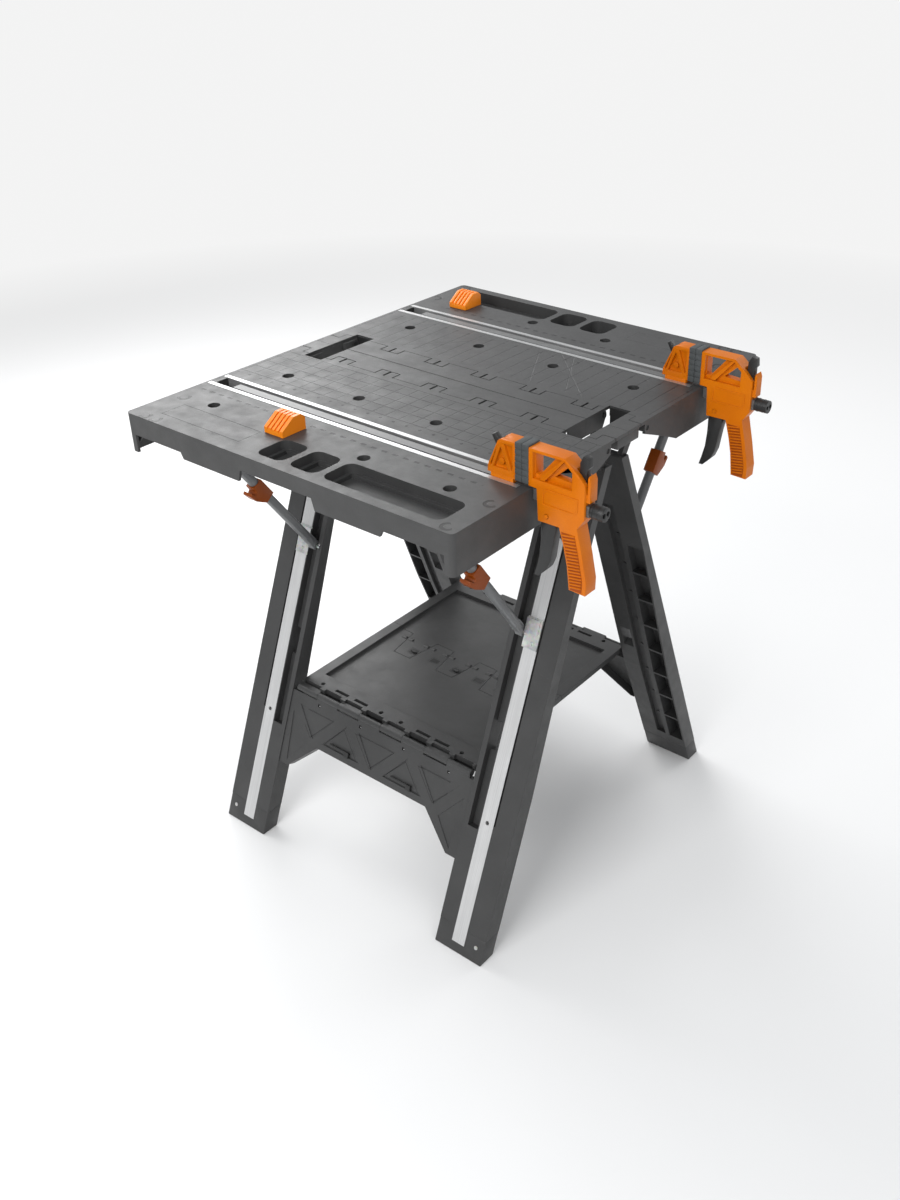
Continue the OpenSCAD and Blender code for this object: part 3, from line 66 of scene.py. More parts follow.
class Nodes:
    """A node tree under construction, with short calls for what the materials share."""

    def __init__(self, name):
        self.material = bpy.data.materials.new(name)
        self.material.use_nodes = True
        self.tree = self.material.node_tree
        self.shader = self.tree.nodes["Principled BSDF"]
        coords = self.add("ShaderNodeTexCoord")
        self.position = coords.outputs["Object"]

    def add(self, kind, **values):
        node = self.tree.nodes.new(kind)
        for key, value in values.items():
            setattr(node, key, value)
        return node

    def link(self, a, b):
        self.tree.links.new(a, b)

    def stretch(self, scale):
        """The position scaled along each axis, for noise that is drawn out."""
        mapping = self.add("ShaderNodeMapping")
        mapping.inputs["Scale"].default_value = scale
        self.link(self.position, mapping.inputs["Vector"])
        return mapping.outputs["Vector"]

    def noise(self, scale, detail, rough, vector=None):
        node = self.add("ShaderNodeTexNoise")
        node.inputs["Scale"].default_value = scale
        node.inputs["Detail"].default_value = detail
        node.inputs["Roughness"].default_value = rough
        self.link(vector or self.position, node.inputs["Vector"])
        return node.outputs["Fac"]

    def calc(self, operation, *values):
        """A math node's result; each value is a number or another node's output."""
        node = self.add("ShaderNodeMath", operation=operation)
        for socket, value in zip(node.inputs, values):
            if isinstance(value, bpy.types.NodeSocket):
                self.link(value, socket)
            else:
                socket.default_value = value
        return node.outputs[0]

    def axes(self):
        split = self.add("ShaderNodeSeparateXYZ")
        self.link(self.position, split.inputs[0])
        return split.outputs[0], split.outputs[1], split.outputs[2]

    def off(self, value, middle):
        """Distance from a middle, both along one axis."""
        return self.calc("ABSOLUTE", self.calc("SUBTRACT", value, middle))

    def every(self, value, first, pitch):
        """Distance to the nearest of a row of places."""
        return self.calc("PINGPONG", self.calc("SUBTRACT", value, first), pitch / 2)

    def apart(self, a, b):
        """Straight distance of two that are square to each other."""
        return self.calc("SQRT", self.calc("ADD", self.calc("MULTIPLY", a, a), self.calc("MULTIPLY", b, b)))

    def near(self, distance, half):
        """1 where the distance is below half, 0 beyond half plus the soft rim."""
        return self.spread(distance, half, half + SOFT_RIM, 1, 0)

    def between(self, value, low, high):
        """1 where the value is between low and high."""
        return self.near(self.off(value, (low + high) / 2), (high - low) / 2)

    def both(self, *masks):
        """Where all masks are."""
        result = masks[0]
        for mask in masks[1:]:
            result = self.calc("MULTIPLY", result, mask)
        return result

    def either(self, *masks):
        """Where any mask is."""
        result = masks[0]
        for mask in masks[1:]:
            result = self.calc("MAXIMUM", result, mask)
        return result

    def spread(self, value, low, high, to_low, to_high):
        """A value's range mapped to another one and held within it."""
        node = self.add("ShaderNodeMapRange")
        for key, number in (("From Min", low), ("From Max", high), ("To Min", to_low), ("To Max", to_high)):
            node.inputs[key].default_value = number
        self.link(value, node.inputs["Value"])
        return node.outputs["Result"]

    def mix(self, factor, a, b, how="MIX"):
        node = self.add("ShaderNodeMix", data_type="RGBA", blend_type=how)
        for socket, value in ((node.inputs[0], factor), (node.inputs[6], a), (node.inputs[7], b)):
            if isinstance(value, bpy.types.NodeSocket):
                self.link(value, socket)
            elif isinstance(value, (int, float)):
                socket.default_value = value
            else:
                socket.default_value = (*value, 1)
        return node.outputs[2]

    def bump(self, value, strength, distance, before=None):
        node = self.add("ShaderNodeBump")
        node.inputs["Strength"].default_value = strength
        node.inputs["Distance"].default_value = distance
        self.link(value, node.inputs["Height"])
        if before:
            self.link(before, node.inputs["Normal"])
        return node.outputs["Normal"]

    def rounded(self, radius):
        """Normals that round the mesh's sharp edges."""
        node = self.add("ShaderNodeBevel", samples=4)
        node.inputs["Radius"].default_value = radius
        return node.outputs["Normal"]

    def finish(self, colour, roughness, normal=None):
        """Wires the shader up and gives its material."""
        self.link(colour, self.shader.inputs["Base Color"])
        if isinstance(roughness, bpy.types.NodeSocket):
            self.link(roughness, self.shader.inputs["Roughness"])
        else:
            self.shader.inputs["Roughness"].default_value = roughness
        if normal:
            self.link(normal, self.shader.inputs["Normal"])
        return self.material


def linear(hex_code):
    """Linear colour of an sRGB hex code."""
    return tuple((int(hex_code[i:i + 2], 16) / 255) ** 2.2 for i in (0, 2, 4))


# How much a faint and a strong moulded mark darken the plastic as painted shade in the sunk mark, and
# how deep a faint one is beside a strong one
FAINT_SHARE, FAINT_SHADE_TINT, FAINT_SUNK = 0.62, 0.35, 0.6
STRONG_SHARE, STRONG_SHADE_TINT = 0.9, 0.16
# How deep a strong mark looks and how wide the edges look rounded, in metres
MARK_DEPTH = 0.0009
ROUNDED_EDGE = 0.0007


def moulded(name, dark, light, rough=(0.4, 0.56), grain=1500, grain_depth=0.00014, marks=None,
            specular=0.42):
    """Injection-moulded plastic: spark-eroded grain, faint flow clouds, light scuffs, and moulded marks
    darkened as painted shade.
    """
    n = Nodes(name)
    clouds = n.noise(scale=9, detail=3, rough=0.6)
    fine = n.noise(scale=grain, detail=2, rough=0.5)
    scuff = n.noise(scale=60, detail=6, rough=0.7, vector=n.stretch((1, 5, 5)))
    colour = n.mix(n.spread(clouds, 0.3, 0.7, 0, 1), dark, light)
    colour = n.mix(n.spread(fine, 0.35, 0.75, 0, 0.3), colour, tuple(min(1, c * 1.7) for c in light))
    colour = n.mix(n.spread(scuff, 0.6, 0.72, 0, 0.14), colour, tuple(min(1, c * 2.4) for c in light))
    roughness = n.spread(n.noise(scale=35, detail=5, rough=0.65), 0.3, 0.7, *rough)
    n.shader.inputs["Specular IOR Level"].default_value = specular
    normal = n.bump(fine, 0.5, grain_depth, n.rounded(ROUNDED_EDGE))
    if marks:
        strong, faint = marks(n)
        # The marks are darkened with painted shade, standing in for the shade in their sunk grooves and
        # pockets
        colour = n.mix(n.calc("MULTIPLY", faint, FAINT_SHARE), colour, tuple(c * FAINT_SHADE_TINT for c in dark))
        sunk = n.calc("MULTIPLY", faint, FAINT_SUNK)
        if strong:
            share = n.calc("MULTIPLY", strong, STRONG_SHARE)
            colour = n.mix(share, colour, tuple(c * STRONG_SHADE_TINT for c in dark))
            sunk = n.either(strong, sunk)
        normal = n.bump(n.calc("SUBTRACT", 1.0, sunk), 0.9, MARK_DEPTH, normal)
    return n.finish(colour, roughness, normal)


# Marks on the table's top, in metres on the front half. The rear half has the dashes, the dots, the hooks
# and the bare plate half-turned, and the mitre lines to itself. A mitre line is its angle in degrees and
# its distance from the origin, a hook is its middle and its radius
TOP_FROM = 0.8122
MARK_LINE = 0.0008
FINE_LINE = 0.0005
GRID_STEP = 0.155 / 6
GRID_COLUMN, GRID_ROW = 0.0775, -0.145
FIELD_INNER, FIELD_OUTER = -0.067, -0.172
REAR_FIELD_OUTER = -0.196
MITRES = ((60, 0.17), (60, 0.11), (-60, 0.17), (45, 0.18), (-45, 0.18))
MITRE_SHARE = 0.45
DOT_ROW, DOT_RADIUS = -0.1805, 0.0022
DASH_ROW, DASH_FIRST, DASH_PITCH = -0.2645, 0.006, 0.02
DASH_HALF_LENGTH, DASH_HALF_WIDTH = 0.0046, 0.0019
DASHES_FROM, DASHES_TO = -0.302, 0.262
BARE_PLATE, BARE_PLATE_HALF = (-0.185, -0.344), (0.084, 0.021)
BARE_PLATE_LINE = 0.0006
HOOKS = ((0.3035, -0.299, 0.0085), (0.299, -0.3795, 0.0085), (-0.2925, -0.304, 0.0085),
         (-0.2815, -0.385, 0.008), (-0.2585, -0.385, 0.008))
HOOK_LINE, HOOK_OPENING = 0.0022, 0.006
SEAM_HALF_LENGTH = 0.243


def inside_box(n, across, along, half_across, half_along):
    """Below 0 inside a box: the larger of the two distances beyond its sides."""
    return n.calc("MAXIMUM", n.calc("SUBTRACT", across, half_across), n.calc("SUBTRACT", along, half_along))


def table_marks(n):
    """Grid, mitre lines, dots, ruler dashes, corner hooks, centre seam and the bare plates, as sunk marks
    that get painted shade.
    """
    x, y, z = n.axes()
    front = n.calc("LESS_THAN", y, 0.0)
    rear = n.calc("SUBTRACT", 1.0, front)
    turn = n.calc("SUBTRACT", n.calc("MULTIPLY", front, 2.0), 1.0)
    u, v = n.calc("MULTIPLY", x, turn), n.calc("MULTIPLY", y, turn)
    top = n.calc("GREATER_THAN", z, TOP_FROM)
    columns = n.every(x, GRID_COLUMN, GRID_STEP)
    rows = n.every(v, GRID_ROW, GRID_STEP)
    field = n.between(v, FIELD_OUTER, FIELD_INNER)
    grid = n.both(field, front, n.near(n.calc("MINIMUM", columns, rows), MARK_LINE))
    rear_field = n.between(v, REAR_FIELD_OUTER, FIELD_INNER)
    rear_lines = n.both(rear_field, rear, n.near(columns, MARK_LINE))
    mitres = []
    for angle, reach in MITRES:
        a = math.radians(angle)
        along = n.calc("ADD", n.calc("MULTIPLY", x, math.sin(a)), n.calc("MULTIPLY", y, math.cos(a)))
        mitres.append(n.near(n.off(along, reach), FINE_LINE))
    mitre = n.both(rear_field, n.calc("MULTIPLY", rear, MITRE_SHARE), n.either(*mitres))
    dots = n.near(n.apart(columns, n.off(v, DOT_ROW)), DOT_RADIUS)
    dash = inside_box(n, n.every(u, DASH_FIRST, DASH_PITCH), n.off(v, DASH_ROW),
                      DASH_HALF_LENGTH, DASH_HALF_WIDTH)
    dashes = n.both(n.near(dash, 0.0), n.between(u, DASHES_FROM, DASHES_TO))
    plate = inside_box(n, n.off(u, BARE_PLATE[0]), n.off(v, BARE_PLATE[1]), *BARE_PLATE_HALF)
    frame_line = n.near(n.off(plate, 0.0), BARE_PLATE_LINE)
    hooks = []
    for middle_u, middle_v, radius in HOOKS:
        ring = n.near(n.off(n.apart(n.off(u, middle_u), n.off(v, middle_v)), radius), HOOK_LINE)
        side = -1 if middle_u < 0 else 1
        reach = n.calc("ADD", n.calc("MULTIPLY", n.calc("SUBTRACT", u, middle_u), side),
                       n.calc("SUBTRACT", v, middle_v))
        hooks.append(n.both(ring, n.calc("LESS_THAN", reach, HOOK_OPENING)))
    seam = n.both(n.near(n.off(y, 0.0), MARK_LINE), n.near(n.off(x, 0.0), SEAM_HALF_LENGTH))
    strong = n.both(top, n.either(dots, dashes, seam, *hooks))
    return strong, n.both(top, n.either(grid, rear_lines, mitre, frame_line))


# Pockets along the shelf's seam, in metres
POCKET_FIRST, POCKET_PITCH, POCKET_ROW = -0.0535, 0.0505, -0.0262
POCKET_HALF_LENGTH, POCKET_HALF_WIDTH = 0.0085, 0.0055
POCKETS_FROM, POCKETS_TO = -0.118, 0.13
POCKET_RIM, POCKET_LINE = 0.002, 0.0004
SHELF_FLOOR_FROM = 0.2705


def shelf_marks(n):
    """Pockets that hold the pins along the shelf's seam, darkened inside with painted shade, and a faint
    line round each.
    """
    x, y, z = n.axes()
    pocket = inside_box(n, n.every(x, POCKET_FIRST, POCKET_PITCH), n.off(y, POCKET_ROW),
                        POCKET_HALF_LENGTH, POCKET_HALF_WIDTH)
    floor = n.both(n.between(x, POCKETS_FROM, POCKETS_TO), n.calc("GREATER_THAN", z, SHELF_FLOOR_FROM))
    return n.both(floor, n.near(pocket, 0.0)), n.both(floor, n.near(n.off(pocket, POCKET_RIM), POCKET_LINE))


# Triangles on the cross panels, in metres: both kinds have sides at 45 degrees and stand a pitch apart
TRIANGLE_PITCH = 0.141
HANGING_FIRST, STANDING_FIRST = -0.004, 0.0665
TRIANGLES_LOW, HANGING_TOP, STANDING_TIP = 0.199, 0.242, 0.238
TRIANGLES_HALF_WIDTH = 0.162
TRIANGLES_FROM, TRIANGLES_TO = 0.196, 0.2445


def panel_marks(n):
    """Outlines of the triangles between the cross panel's braces, as faint sunk marks only, darkened with
    painted shade.
    """
    x, _, z = n.axes()
    rise = n.calc("SUBTRACT", z, TRIANGLES_LOW)
    hanging = n.calc("MAXIMUM", n.calc("SUBTRACT", n.every(x, HANGING_FIRST, TRIANGLE_PITCH), rise),
                     n.calc("SUBTRACT", z, HANGING_TOP))
    below_tip = n.calc("SUBTRACT", STANDING_TIP, z)
    standing = n.calc("MAXIMUM", n.calc("SUBTRACT", n.every(x, STANDING_FIRST, TRIANGLE_PITCH), below_tip),
                      n.calc("SUBTRACT", TRIANGLES_LOW, z))
    lines = n.either(n.near(n.off(hanging, 0.0), MARK_LINE), n.near(n.off(standing, 0.0), MARK_LINE))
    across = n.near(n.off(x, 0.0), TRIANGLES_HALF_WIDTH)
    return None, n.both(across, n.between(z, TRIANGLES_FROM, TRIANGLES_TO), lines)


def brushed(name, dark, light, rough=(0.24, 0.42), along=(6, 900, 900), metallic=1.0):
    """Drawn or extruded metal with fine lines along one axis."""
    n = Nodes(name)
    lines = n.noise(scale=1, detail=5, rough=0.7, vector=n.stretch(along))
    clouds = n.noise(scale=14, detail=4, rough=0.6)
    colour = n.mix(n.spread(lines, 0.3, 0.7, 0, 1), dark, light)
    colour = n.mix(n.spread(clouds, 0.35, 0.65, 0, 0.3), colour, dark)
    roughness = n.spread(lines, 0.3, 0.7, *rough)
    n.shader.inputs["Metallic"].default_value = metallic
    return n.finish(colour, roughness, n.bump(lines, strength=0.18, distance=0.00008))


def zinc(name):
    """Zinc-plated pressed steel with a faint yellow-blue mottle."""
    n = Nodes(name)
    cells = n.add("ShaderNodeTexVoronoi")
    cells.inputs["Scale"].default_value = 260
    n.link(n.position, cells.inputs["Vector"])
    clouds = n.noise(scale=50, detail=4, rough=0.6)
    colour = n.mix(n.spread(clouds, 0.3, 0.7, 0, 1), linear("b4b6b8"), linear("dcdcd8"))
    colour = n.mix(0.12, colour, cells.outputs["Color"], "OVERLAY")
    n.shader.inputs["Metallic"].default_value = 1
    roughness = n.spread(clouds, 0.3, 0.7, 0.28, 0.46)
    return n.finish(colour, roughness, n.bump(clouds, strength=0.1, distance=0.0001))


def rubber(name, dark, light):
    """Matt rubber with a fine grain."""
    n = Nodes(name)
    fine = n.noise(scale=1800, detail=3, rough=0.6)
    clouds = n.noise(scale=30, detail=4, rough=0.6)
    colour = n.mix(n.spread(clouds, 0.3, 0.7, 0, 1), dark, light)
    colour = n.mix(n.spread(fine, 0.4, 0.7, 0, 0.25), colour, tuple(c * 1.7 for c in light))
    return n.finish(colour, 0.82, n.bump(fine, strength=0.6, distance=0.0002))


MATERIALS = {
    "table": moulded("table_plastic", linear("363636"), linear("414141"), marks=table_marks),
    "frame": moulded("frame_plastic", linear("333333"), linear("3e3e3e")),
    "panel": moulded("panel_plastic", linear("333333"), linear("3e3e3e"), marks=panel_marks),
    "shelf": moulded("shelf_plastic", linear("333333"), linear("3e3e3e"), marks=shelf_marks),
    # Real black plastic of knobs, triggers and levers, and also painted shade on the hinge guards, panel
    # lips, hole walls and latches
    "black": moulded("black_plastic", linear("212121"), linear("2d2d2d"), rough=(0.34, 0.5), grain=2400),
    "orange": moulded("orange_plastic", linear("e67610"), linear("f2841c"), rough=(0.32, 0.46), grain=2400,
                      grain_depth=0.00008),
    "casting": moulded("casting_plastic", linear("b85c00"), linear("c86c04"), rough=(0.32, 0.48),
                       grain=2400, grain_depth=0.0001, specular=0.2),
    # The casting's orange darkened as painted shade, for the ground between the grip's ribs
    "grip": moulded("grip_shade_plastic", linear("823a08"), linear("964408"), rough=(0.4, 0.56), grain=2400,
                    grain_depth=0.0001, specular=0.2),
    "clip": moulded("clip_plastic", linear("763810"), linear("8a4416"), rough=(0.32, 0.48), grain=2400,
                    grain_depth=0.0001, specular=0.25),
    "aluminium": brushed("aluminium", linear("b0b0b0"), linear("d0d0d0"), metallic=0.75),
    "bar": brushed("bar_aluminium", linear("606060"), linear("808080"), rough=(0.36, 0.55),
                   metallic=0.6),
    "strip": brushed("strip_steel", linear("bcbcbc"), linear("dadada"), along=(900, 6, 6),
                     rough=(0.36, 0.52), metallic=0.6),
    "zinc": zinc("zinc_steel"),
    "rod": brushed("rod_steel", linear("303030"), linear("424242"), rough=(0.5, 0.65), metallic=0.2),
    "strut": moulded("strut_paint", linear("5a5b5c"), linear("6e6f70"), rough=(0.3, 0.45),
                     grain_depth=0.00005),
    "rubber": rubber("pad_rubber", linear("3c3f40"), linear("4a4d4e")),
}


def material_for(node):
    """The material of a CAD node, by the first of these words in its name."""
    rules = (("track_ends", "black"), ("foot_caps", "frame"), ("knob", "black"), ("release", "black"),
             ("lever", "black"), ("trigger", "black"), ("track", "aluminium"), ("clamp_bar", "bar"),
             ("strips", "strip"), ("rod", "rod"), ("pins", "rod"), ("brackets", "zinc"),
             ("catches", "zinc"), ("strut", "strut"), ("clip", "clip"), ("dog", "orange"),
             ("pad", "rubber"), ("jaw", "casting"), ("clamp_body", "casting"), ("leg", "frame"),
             ("panel", "panel"), ("shelf", "shelf"))
    for word, material in rules:
        if word in node:
            return MATERIALS[material]
    return MATERIALS["table"]


# Shapes
def new_piece(name, mesh, material, body, replaced=()):
    """Links a mesh as a named piece that rides on a body and may stand for CAD nodes."""
    piece = bpy.data.objects.new(name, mesh)
    bpy.context.scene.collection.objects.link(piece)
    mesh.materials.clear()
    mesh.materials.append(material)
    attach(piece, body)
    if replaced:
        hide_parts(*replaced)


def shade(mesh, angle):
    """Smooth shading that keeps edges sharper than the angle."""
    for polygon in mesh.polygons:
        polygon.use_smooth = True
    mesh.set_sharp_from_angle(angle=math.radians(angle))


def baked(obj, name):
    """The object's mesh with its modifiers applied, as a mesh of its own."""
    graph = bpy.context.evaluated_depsgraph_get()
    mesh = bpy.data.meshes.new_from_object(obj.evaluated_get(graph))
    mesh.name = name
    return mesh


# Limits for a rounded copy: the share of volume and surface that it keeps, the gap that is welded in
# metres, and in degrees the bend that counts as flat and the bend from which an edge is rounded
LEAST_KEPT, MOST_KEPT = 0.93, 1.02
WELD_GAP = 2e-6
FLAT_BEND, ROUNDED_BEND = 0.6, 32
ROUND_SEGMENTS = 2


def measure(mesh):
    """Volume and surface of a mesh's triangles."""
    bm = bmesh.new()
    bm.from_mesh(mesh)
    bmesh.ops.triangulate(bm, faces=bm.faces)
    result = bm.calc_volume(signed=True), sum(f.calc_area() for f in bm.faces)
    bm.free()
    return result


def softened(node, width):
    """Makes a copy of a CAD node with rounded edges, which stands for it. Width is in millimetres.

    A copy that lost or gained too much volume or surface isn't used, and the node itself stays."""
    mesh = nodes[node].data.copy()
    bm = bmesh.new()
    bm.from_mesh(mesh)
    bmesh.ops.remove_doubles(bm, verts=bm.verts, dist=WELD_GAP)
    bmesh.ops.dissolve_limit(bm, angle_limit=math.radians(FLAT_BEND), verts=bm.verts, edges=bm.edges)
    bm.to_mesh(mesh)
    bm.free()
    holder = bpy.data.objects.new("holder", mesh)
    bpy.context.scene.collection.objects.link(holder)
    bevel = holder.modifiers.new("round", "BEVEL")
    bevel.width = width * MM
    bevel.segments = ROUND_SEGMENTS
    bevel.limit_method = "ANGLE"
    bevel.angle_limit = math.radians(ROUNDED_BEND)
    bevel.use_clamp_overlap = True
    bevel.miter_outer = "MITER_ARC"
    smooth = baked(holder, node + "_soft")
    bpy.data.objects.remove(holder)
    before, after = measure(nodes[node].data), measure(smooth)
    if not all(LEAST_KEPT < b / a < MOST_KEPT for a, b in zip(before, after)):
        print("kept as it is:", node, [round(b / a, 3) for a, b in zip(before, after)])
        return
    shade(smooth, 50)
    new_piece(node + "_soft", smooth, material_for(node), node_body[node], [node])


# Edges of a form that bend by more than this, in radians, are rounded
SHARP_EDGE = 0.5


class Form:
    """A mesh built up from prisms and rods, in millimetres of the shared frame."""

    def __init__(self):
        self.bm = bmesh.new()

    def prism(self, outline, axis, low, high):
        """Adds a closed prism of a 2D outline, given in the two other axes in order."""
        rings = []
        for level in (low, high):
            ring = []
            for a, b in outline:
                place = [a, b]
                place.insert(axis, level)
                ring.append(self.bm.verts.new(Vector(place) * MM))
            rings.append(ring)
        faces = [self.bm.faces.new(rings[0]), self.bm.faces.new(rings[1])]
        count = len(outline)
        for i in range(count):
            j = (i + 1) % count
            faces.append(self.bm.faces.new((rings[0][i], rings[0][j], rings[1][j], rings[1][i])))
        bmesh.ops.recalc_face_normals(self.bm, faces=faces)

    def box(self, x0, x1, y0, y1, z0, z1):
        """Adds a box between two places on each axis."""
        self.prism(((x0, y0), (x1, y0), (x1, y1), (x0, y1)), 2, z0, z1)

    def rod(self, centre, radius, axis, low, high, sides=24):
        """Adds a round rod along an axis."""
        a, b = centre
        turns = [2 * math.pi * i / sides for i in range(sides)]
        outline = [(a + radius * math.cos(turn), b + radius * math.sin(turn)) for turn in turns]
        self.prism(outline, axis, low, high)

    def done(self, name, material, body, bevel, lean=False, turn=False):
        """Leans the form with the front leg and half-turns it if asked, rounds its edges and places it."""
        if lean:
            bmesh.ops.rotate(self.bm, verts=self.bm.verts, cent=Vector((0, -HINGE_Y, HINGE_Z)) * MM,
                             matrix=Matrix.Rotation(math.radians(-LEG_LEAN), 3, "X"))
        if turn:
            bmesh.ops.rotate(self.bm, verts=self.bm.verts, cent=Vector((0, 0, 0)),
                             matrix=Matrix.Rotation(math.pi, 3, "Z"))
        mesh = bpy.data.meshes.new(name)
        if bevel:
            sharp = [e for e in self.bm.edges if e.calc_face_angle(0) > SHARP_EDGE]
            bmesh.ops.bevel(self.bm, geom=sharp, offset=bevel * MM, offset_type="OFFSET",
                            segments=ROUND_SEGMENTS, affect="EDGES", clamp_overlap=True)
        self.bm.to_mesh(mesh)
        self.bm.free()
        shade(mesh, 40)
        new_piece(name, mesh, MATERIALS[material], body)


# Values of part.scad that the detail pieces stand on, in millimetres and degrees.
# The casting is its left edge, its lower edge, its width and its height
TRACK_Y = 221.5
CASTING = (313.05, 764, 92, 103)
CLAMP_HALF = 12
LEG_LEAN = 22.3
HINGE_Y, HINGE_Z = 52, 800
PANEL_FACE = 35.95
LEG_FACE = 35.2
BAR_Z = 803.8
SHELF_REACH, SHELF_AXIS = 225.74, 267.8
KNOB_X = 406.5
HOLE_HALF = 63
HALVES = (("front", -1), ("rear", 1))


def casting(share):
    """Place in x and z of a point that is given in shares of the clamp casting's width and height."""
    return CASTING[0] + share[0] * CASTING[2], CASTING[1] + share[1] * CASTING[3]


def value_at(points, level):
    """Value at a level of a line of (level, value) points, highest level first."""
    for (a, p), (b, q) in zip(points, points[1:]):
        if b <= level <= a:
            return p + (q - p) * (a - level) / (a - b)
    return points[-1][1]


def on_lean(height, face):
    """Upright height at the leg's hinge that leans to a height above the floor on a face."""
    lean = math.radians(LEG_LEAN)
    return HINGE_Z + (height - HINGE_Z + face * math.sin(lean)) / math.cos(lean)


# Clamp details: outlines and levels are shares of the casting, sizes are in millimetres
GRIP_FRONT = ((0.06, 0.543), (-0.19, 0.625), (-0.45, 0.69), (-0.8, 0.735))
GRIP_BACK = ((0.12, 0.85), (-0.263, 0.951), (-0.62, 1.03), (-0.81, 1.022))
GRIP_RIBS, RIBS_FROM, RIBS_REACH = 17, -0.03, 0.72
RIB_HALF, RIB_PROUD, RIB_SLOPE = 1.2, 1.5, 0.16
RIB_FRONT_IN, RIB_BACK_IN = 1.6, 6.5
GROUND_STEPS, GROUND_FROM, GROUND_REACH = 16, 0.01, 0.8
GROUND_PROUD, GROUND_FRONT_IN, GROUND_BACK_IN = 0.3, 2.2, 6
NAME_PLACE = ((0.24, 0.3), (0.8, 0.3), (0.86, 0.36), (0.86, 0.54), (0.3, 0.54), (0.24, 0.48))
NAME_PLACE_INNER = ((0.27, 0.325), (0.79, 0.325), (0.835, 0.37), (0.835, 0.515), (0.31, 0.515),
                    (0.27, 0.47))
NAME_EDGE = 0.7
TRIGGER_PIN, TRIGGER_PIN_RADIUS = (0.32, 0.155), 3.6
TRIGGER_PIN_START, TRIGGER_PIN_PROUD = 0.2, 1.1
RELEASE_PIN, RELEASE_PIN_RADIUS = (0.902, 0.777), 2.6
RELEASE_PIN_FROM, RELEASE_PIN_TO = 5.2, 8.6


def grip_ribs(half, mid):
    """Slanted ribs across both sides of a grip, and the ground that they stand on, darker as painted shade
    between the ribs.
    """
    ribs = Form()
    for i in range(GRIP_RIBS):
        level = RIBS_FROM - i * RIBS_REACH / (GRIP_RIBS - 1)
        x0 = casting((value_at(GRIP_FRONT, level), 0))[0] + RIB_FRONT_IN
        x1 = casting((value_at(GRIP_BACK, level), 0))[0] - RIB_BACK_IN
        z = casting((0, level))[1]
        rise = RIB_SLOPE * (x1 - x0)
        outline = ((x0, z - RIB_HALF), (x1, z - RIB_HALF + rise),
                   (x1, z + RIB_HALF + rise), (x0, z + RIB_HALF))
        ribs.prism(outline, 1, mid - CLAMP_HALF - RIB_PROUD, mid + CLAMP_HALF + RIB_PROUD)
    ribs.done(f"{half}_grip_ribs", "casting", f"{half}_clamp", bevel=0.5)
    levels = [GROUND_FROM - i * GROUND_REACH / GROUND_STEPS for i in range(GROUND_STEPS + 1)]
    heights = {level: casting((0, level))[1] for level in levels}
    front = [(casting((value_at(GRIP_FRONT, level), level))[0] + GROUND_FRONT_IN, heights[level])
             for level in levels]
    back = [(casting((value_at(GRIP_BACK, level), level))[0] - GROUND_BACK_IN, heights[level])
            for level in reversed(levels)]
    ground = Form()
    ground.prism(front + back, 1, mid - CLAMP_HALF - GROUND_PROUD, mid + CLAMP_HALF + GROUND_PROUD)
    # The ground gets the darker grip colour as painted shade between the ribs
    ground.done(f"{half}_grip_shaded_ground", "grip", f"{half}_clamp", bevel=0)


def clamp_details():
    """Ribs on the grips, and the bare name places and pin heads on both sides of both castings."""
    plate = [casting(p) for p in NAME_PLACE]
    inner = [casting(p) for p in NAME_PLACE_INNER]
    for half, side in HALVES:
        mid = side * TRACK_Y
        grip_ribs(half, mid)
        for face, word in ((-1, "near"), (1, "far")):
            at = mid + face * CLAMP_HALF
            low, high = at - NAME_EDGE * (face < 0), at + NAME_EDGE * (face > 0)
            edge = Form()
            for i in range(len(plate)):
                j = (i + 1) % len(plate)
                edge.prism((plate[i], plate[j], inner[j], inner[i]), 1, low, high)
            edge.done(f"{half}_name_place_{word}", "casting", f"{half}_clamp", bevel=0)
            heads = Form()
            heads.rod(casting(TRIGGER_PIN), TRIGGER_PIN_RADIUS, 1, at - TRIGGER_PIN_START,
                      at + face * TRIGGER_PIN_PROUD)
            heads.rod(casting(RELEASE_PIN), RELEASE_PIN_RADIUS, 1, mid + face * RELEASE_PIN_FROM,
                      mid + face * RELEASE_PIN_TO)
            heads.done(f"{half}_pin_heads_{word}", "casting", f"{half}_clamp", bevel=0.5)


# Latches: a thin bar with a tab at its end, in millimetres
LATCH_HEIGHT = 206
LATCH_STARTS = (-97, 44)
LATCH_LENGTH, TAB_LENGTH, TAB_DROP, LATCH_HALF = 46, 10, 8, 1.5
LATCH_PROUD, TAB_PROUD, LATCH_SUNK = 2.4, 3.4, 1


def panel_details():
    """Latches on the faces of both cross panels, black as painted shade, drawn upright at the leg's hinge
    and leant with it.
    """
    level = on_lean(LATCH_HEIGHT, PANEL_FACE)
    face = PANEL_FACE - HINGE_Y
    for half, side in HALVES:
        latches = Form()
        for x in LATCH_STARTS:
            end = x + LATCH_LENGTH
            latches.box(x, end, face - LATCH_PROUD, face + LATCH_SUNK,
                        level - LATCH_HALF, level + LATCH_HALF)
            latches.box(end - TAB_LENGTH, end, face - TAB_PROUD, face + LATCH_SUNK,
                        level - TAB_DROP, level + LATCH_HALF)
        # Black stands in as painted shade for the dark recess and shadow of the latch marks
        latches.done(f"{half}_panel_latches", "black", f"{half}_frame", bevel=0.5, turn=side > 0, lean=True)


# Pins in the shelf's pockets, each with a thin bar across it, in millimetres
PIN_MIDDLES = (-104, -3, 98)
PIN_PLACE, PIN_RADIUS, PIN_HALF_LENGTH, PIN_SIDES = (-27.4, 272.4), 1.8, 6, 16
CROSS_HALF, CROSS_ENDS, CROSS_LEVELS = 1.6, (-30.5, -23.5), (271, 273.2)


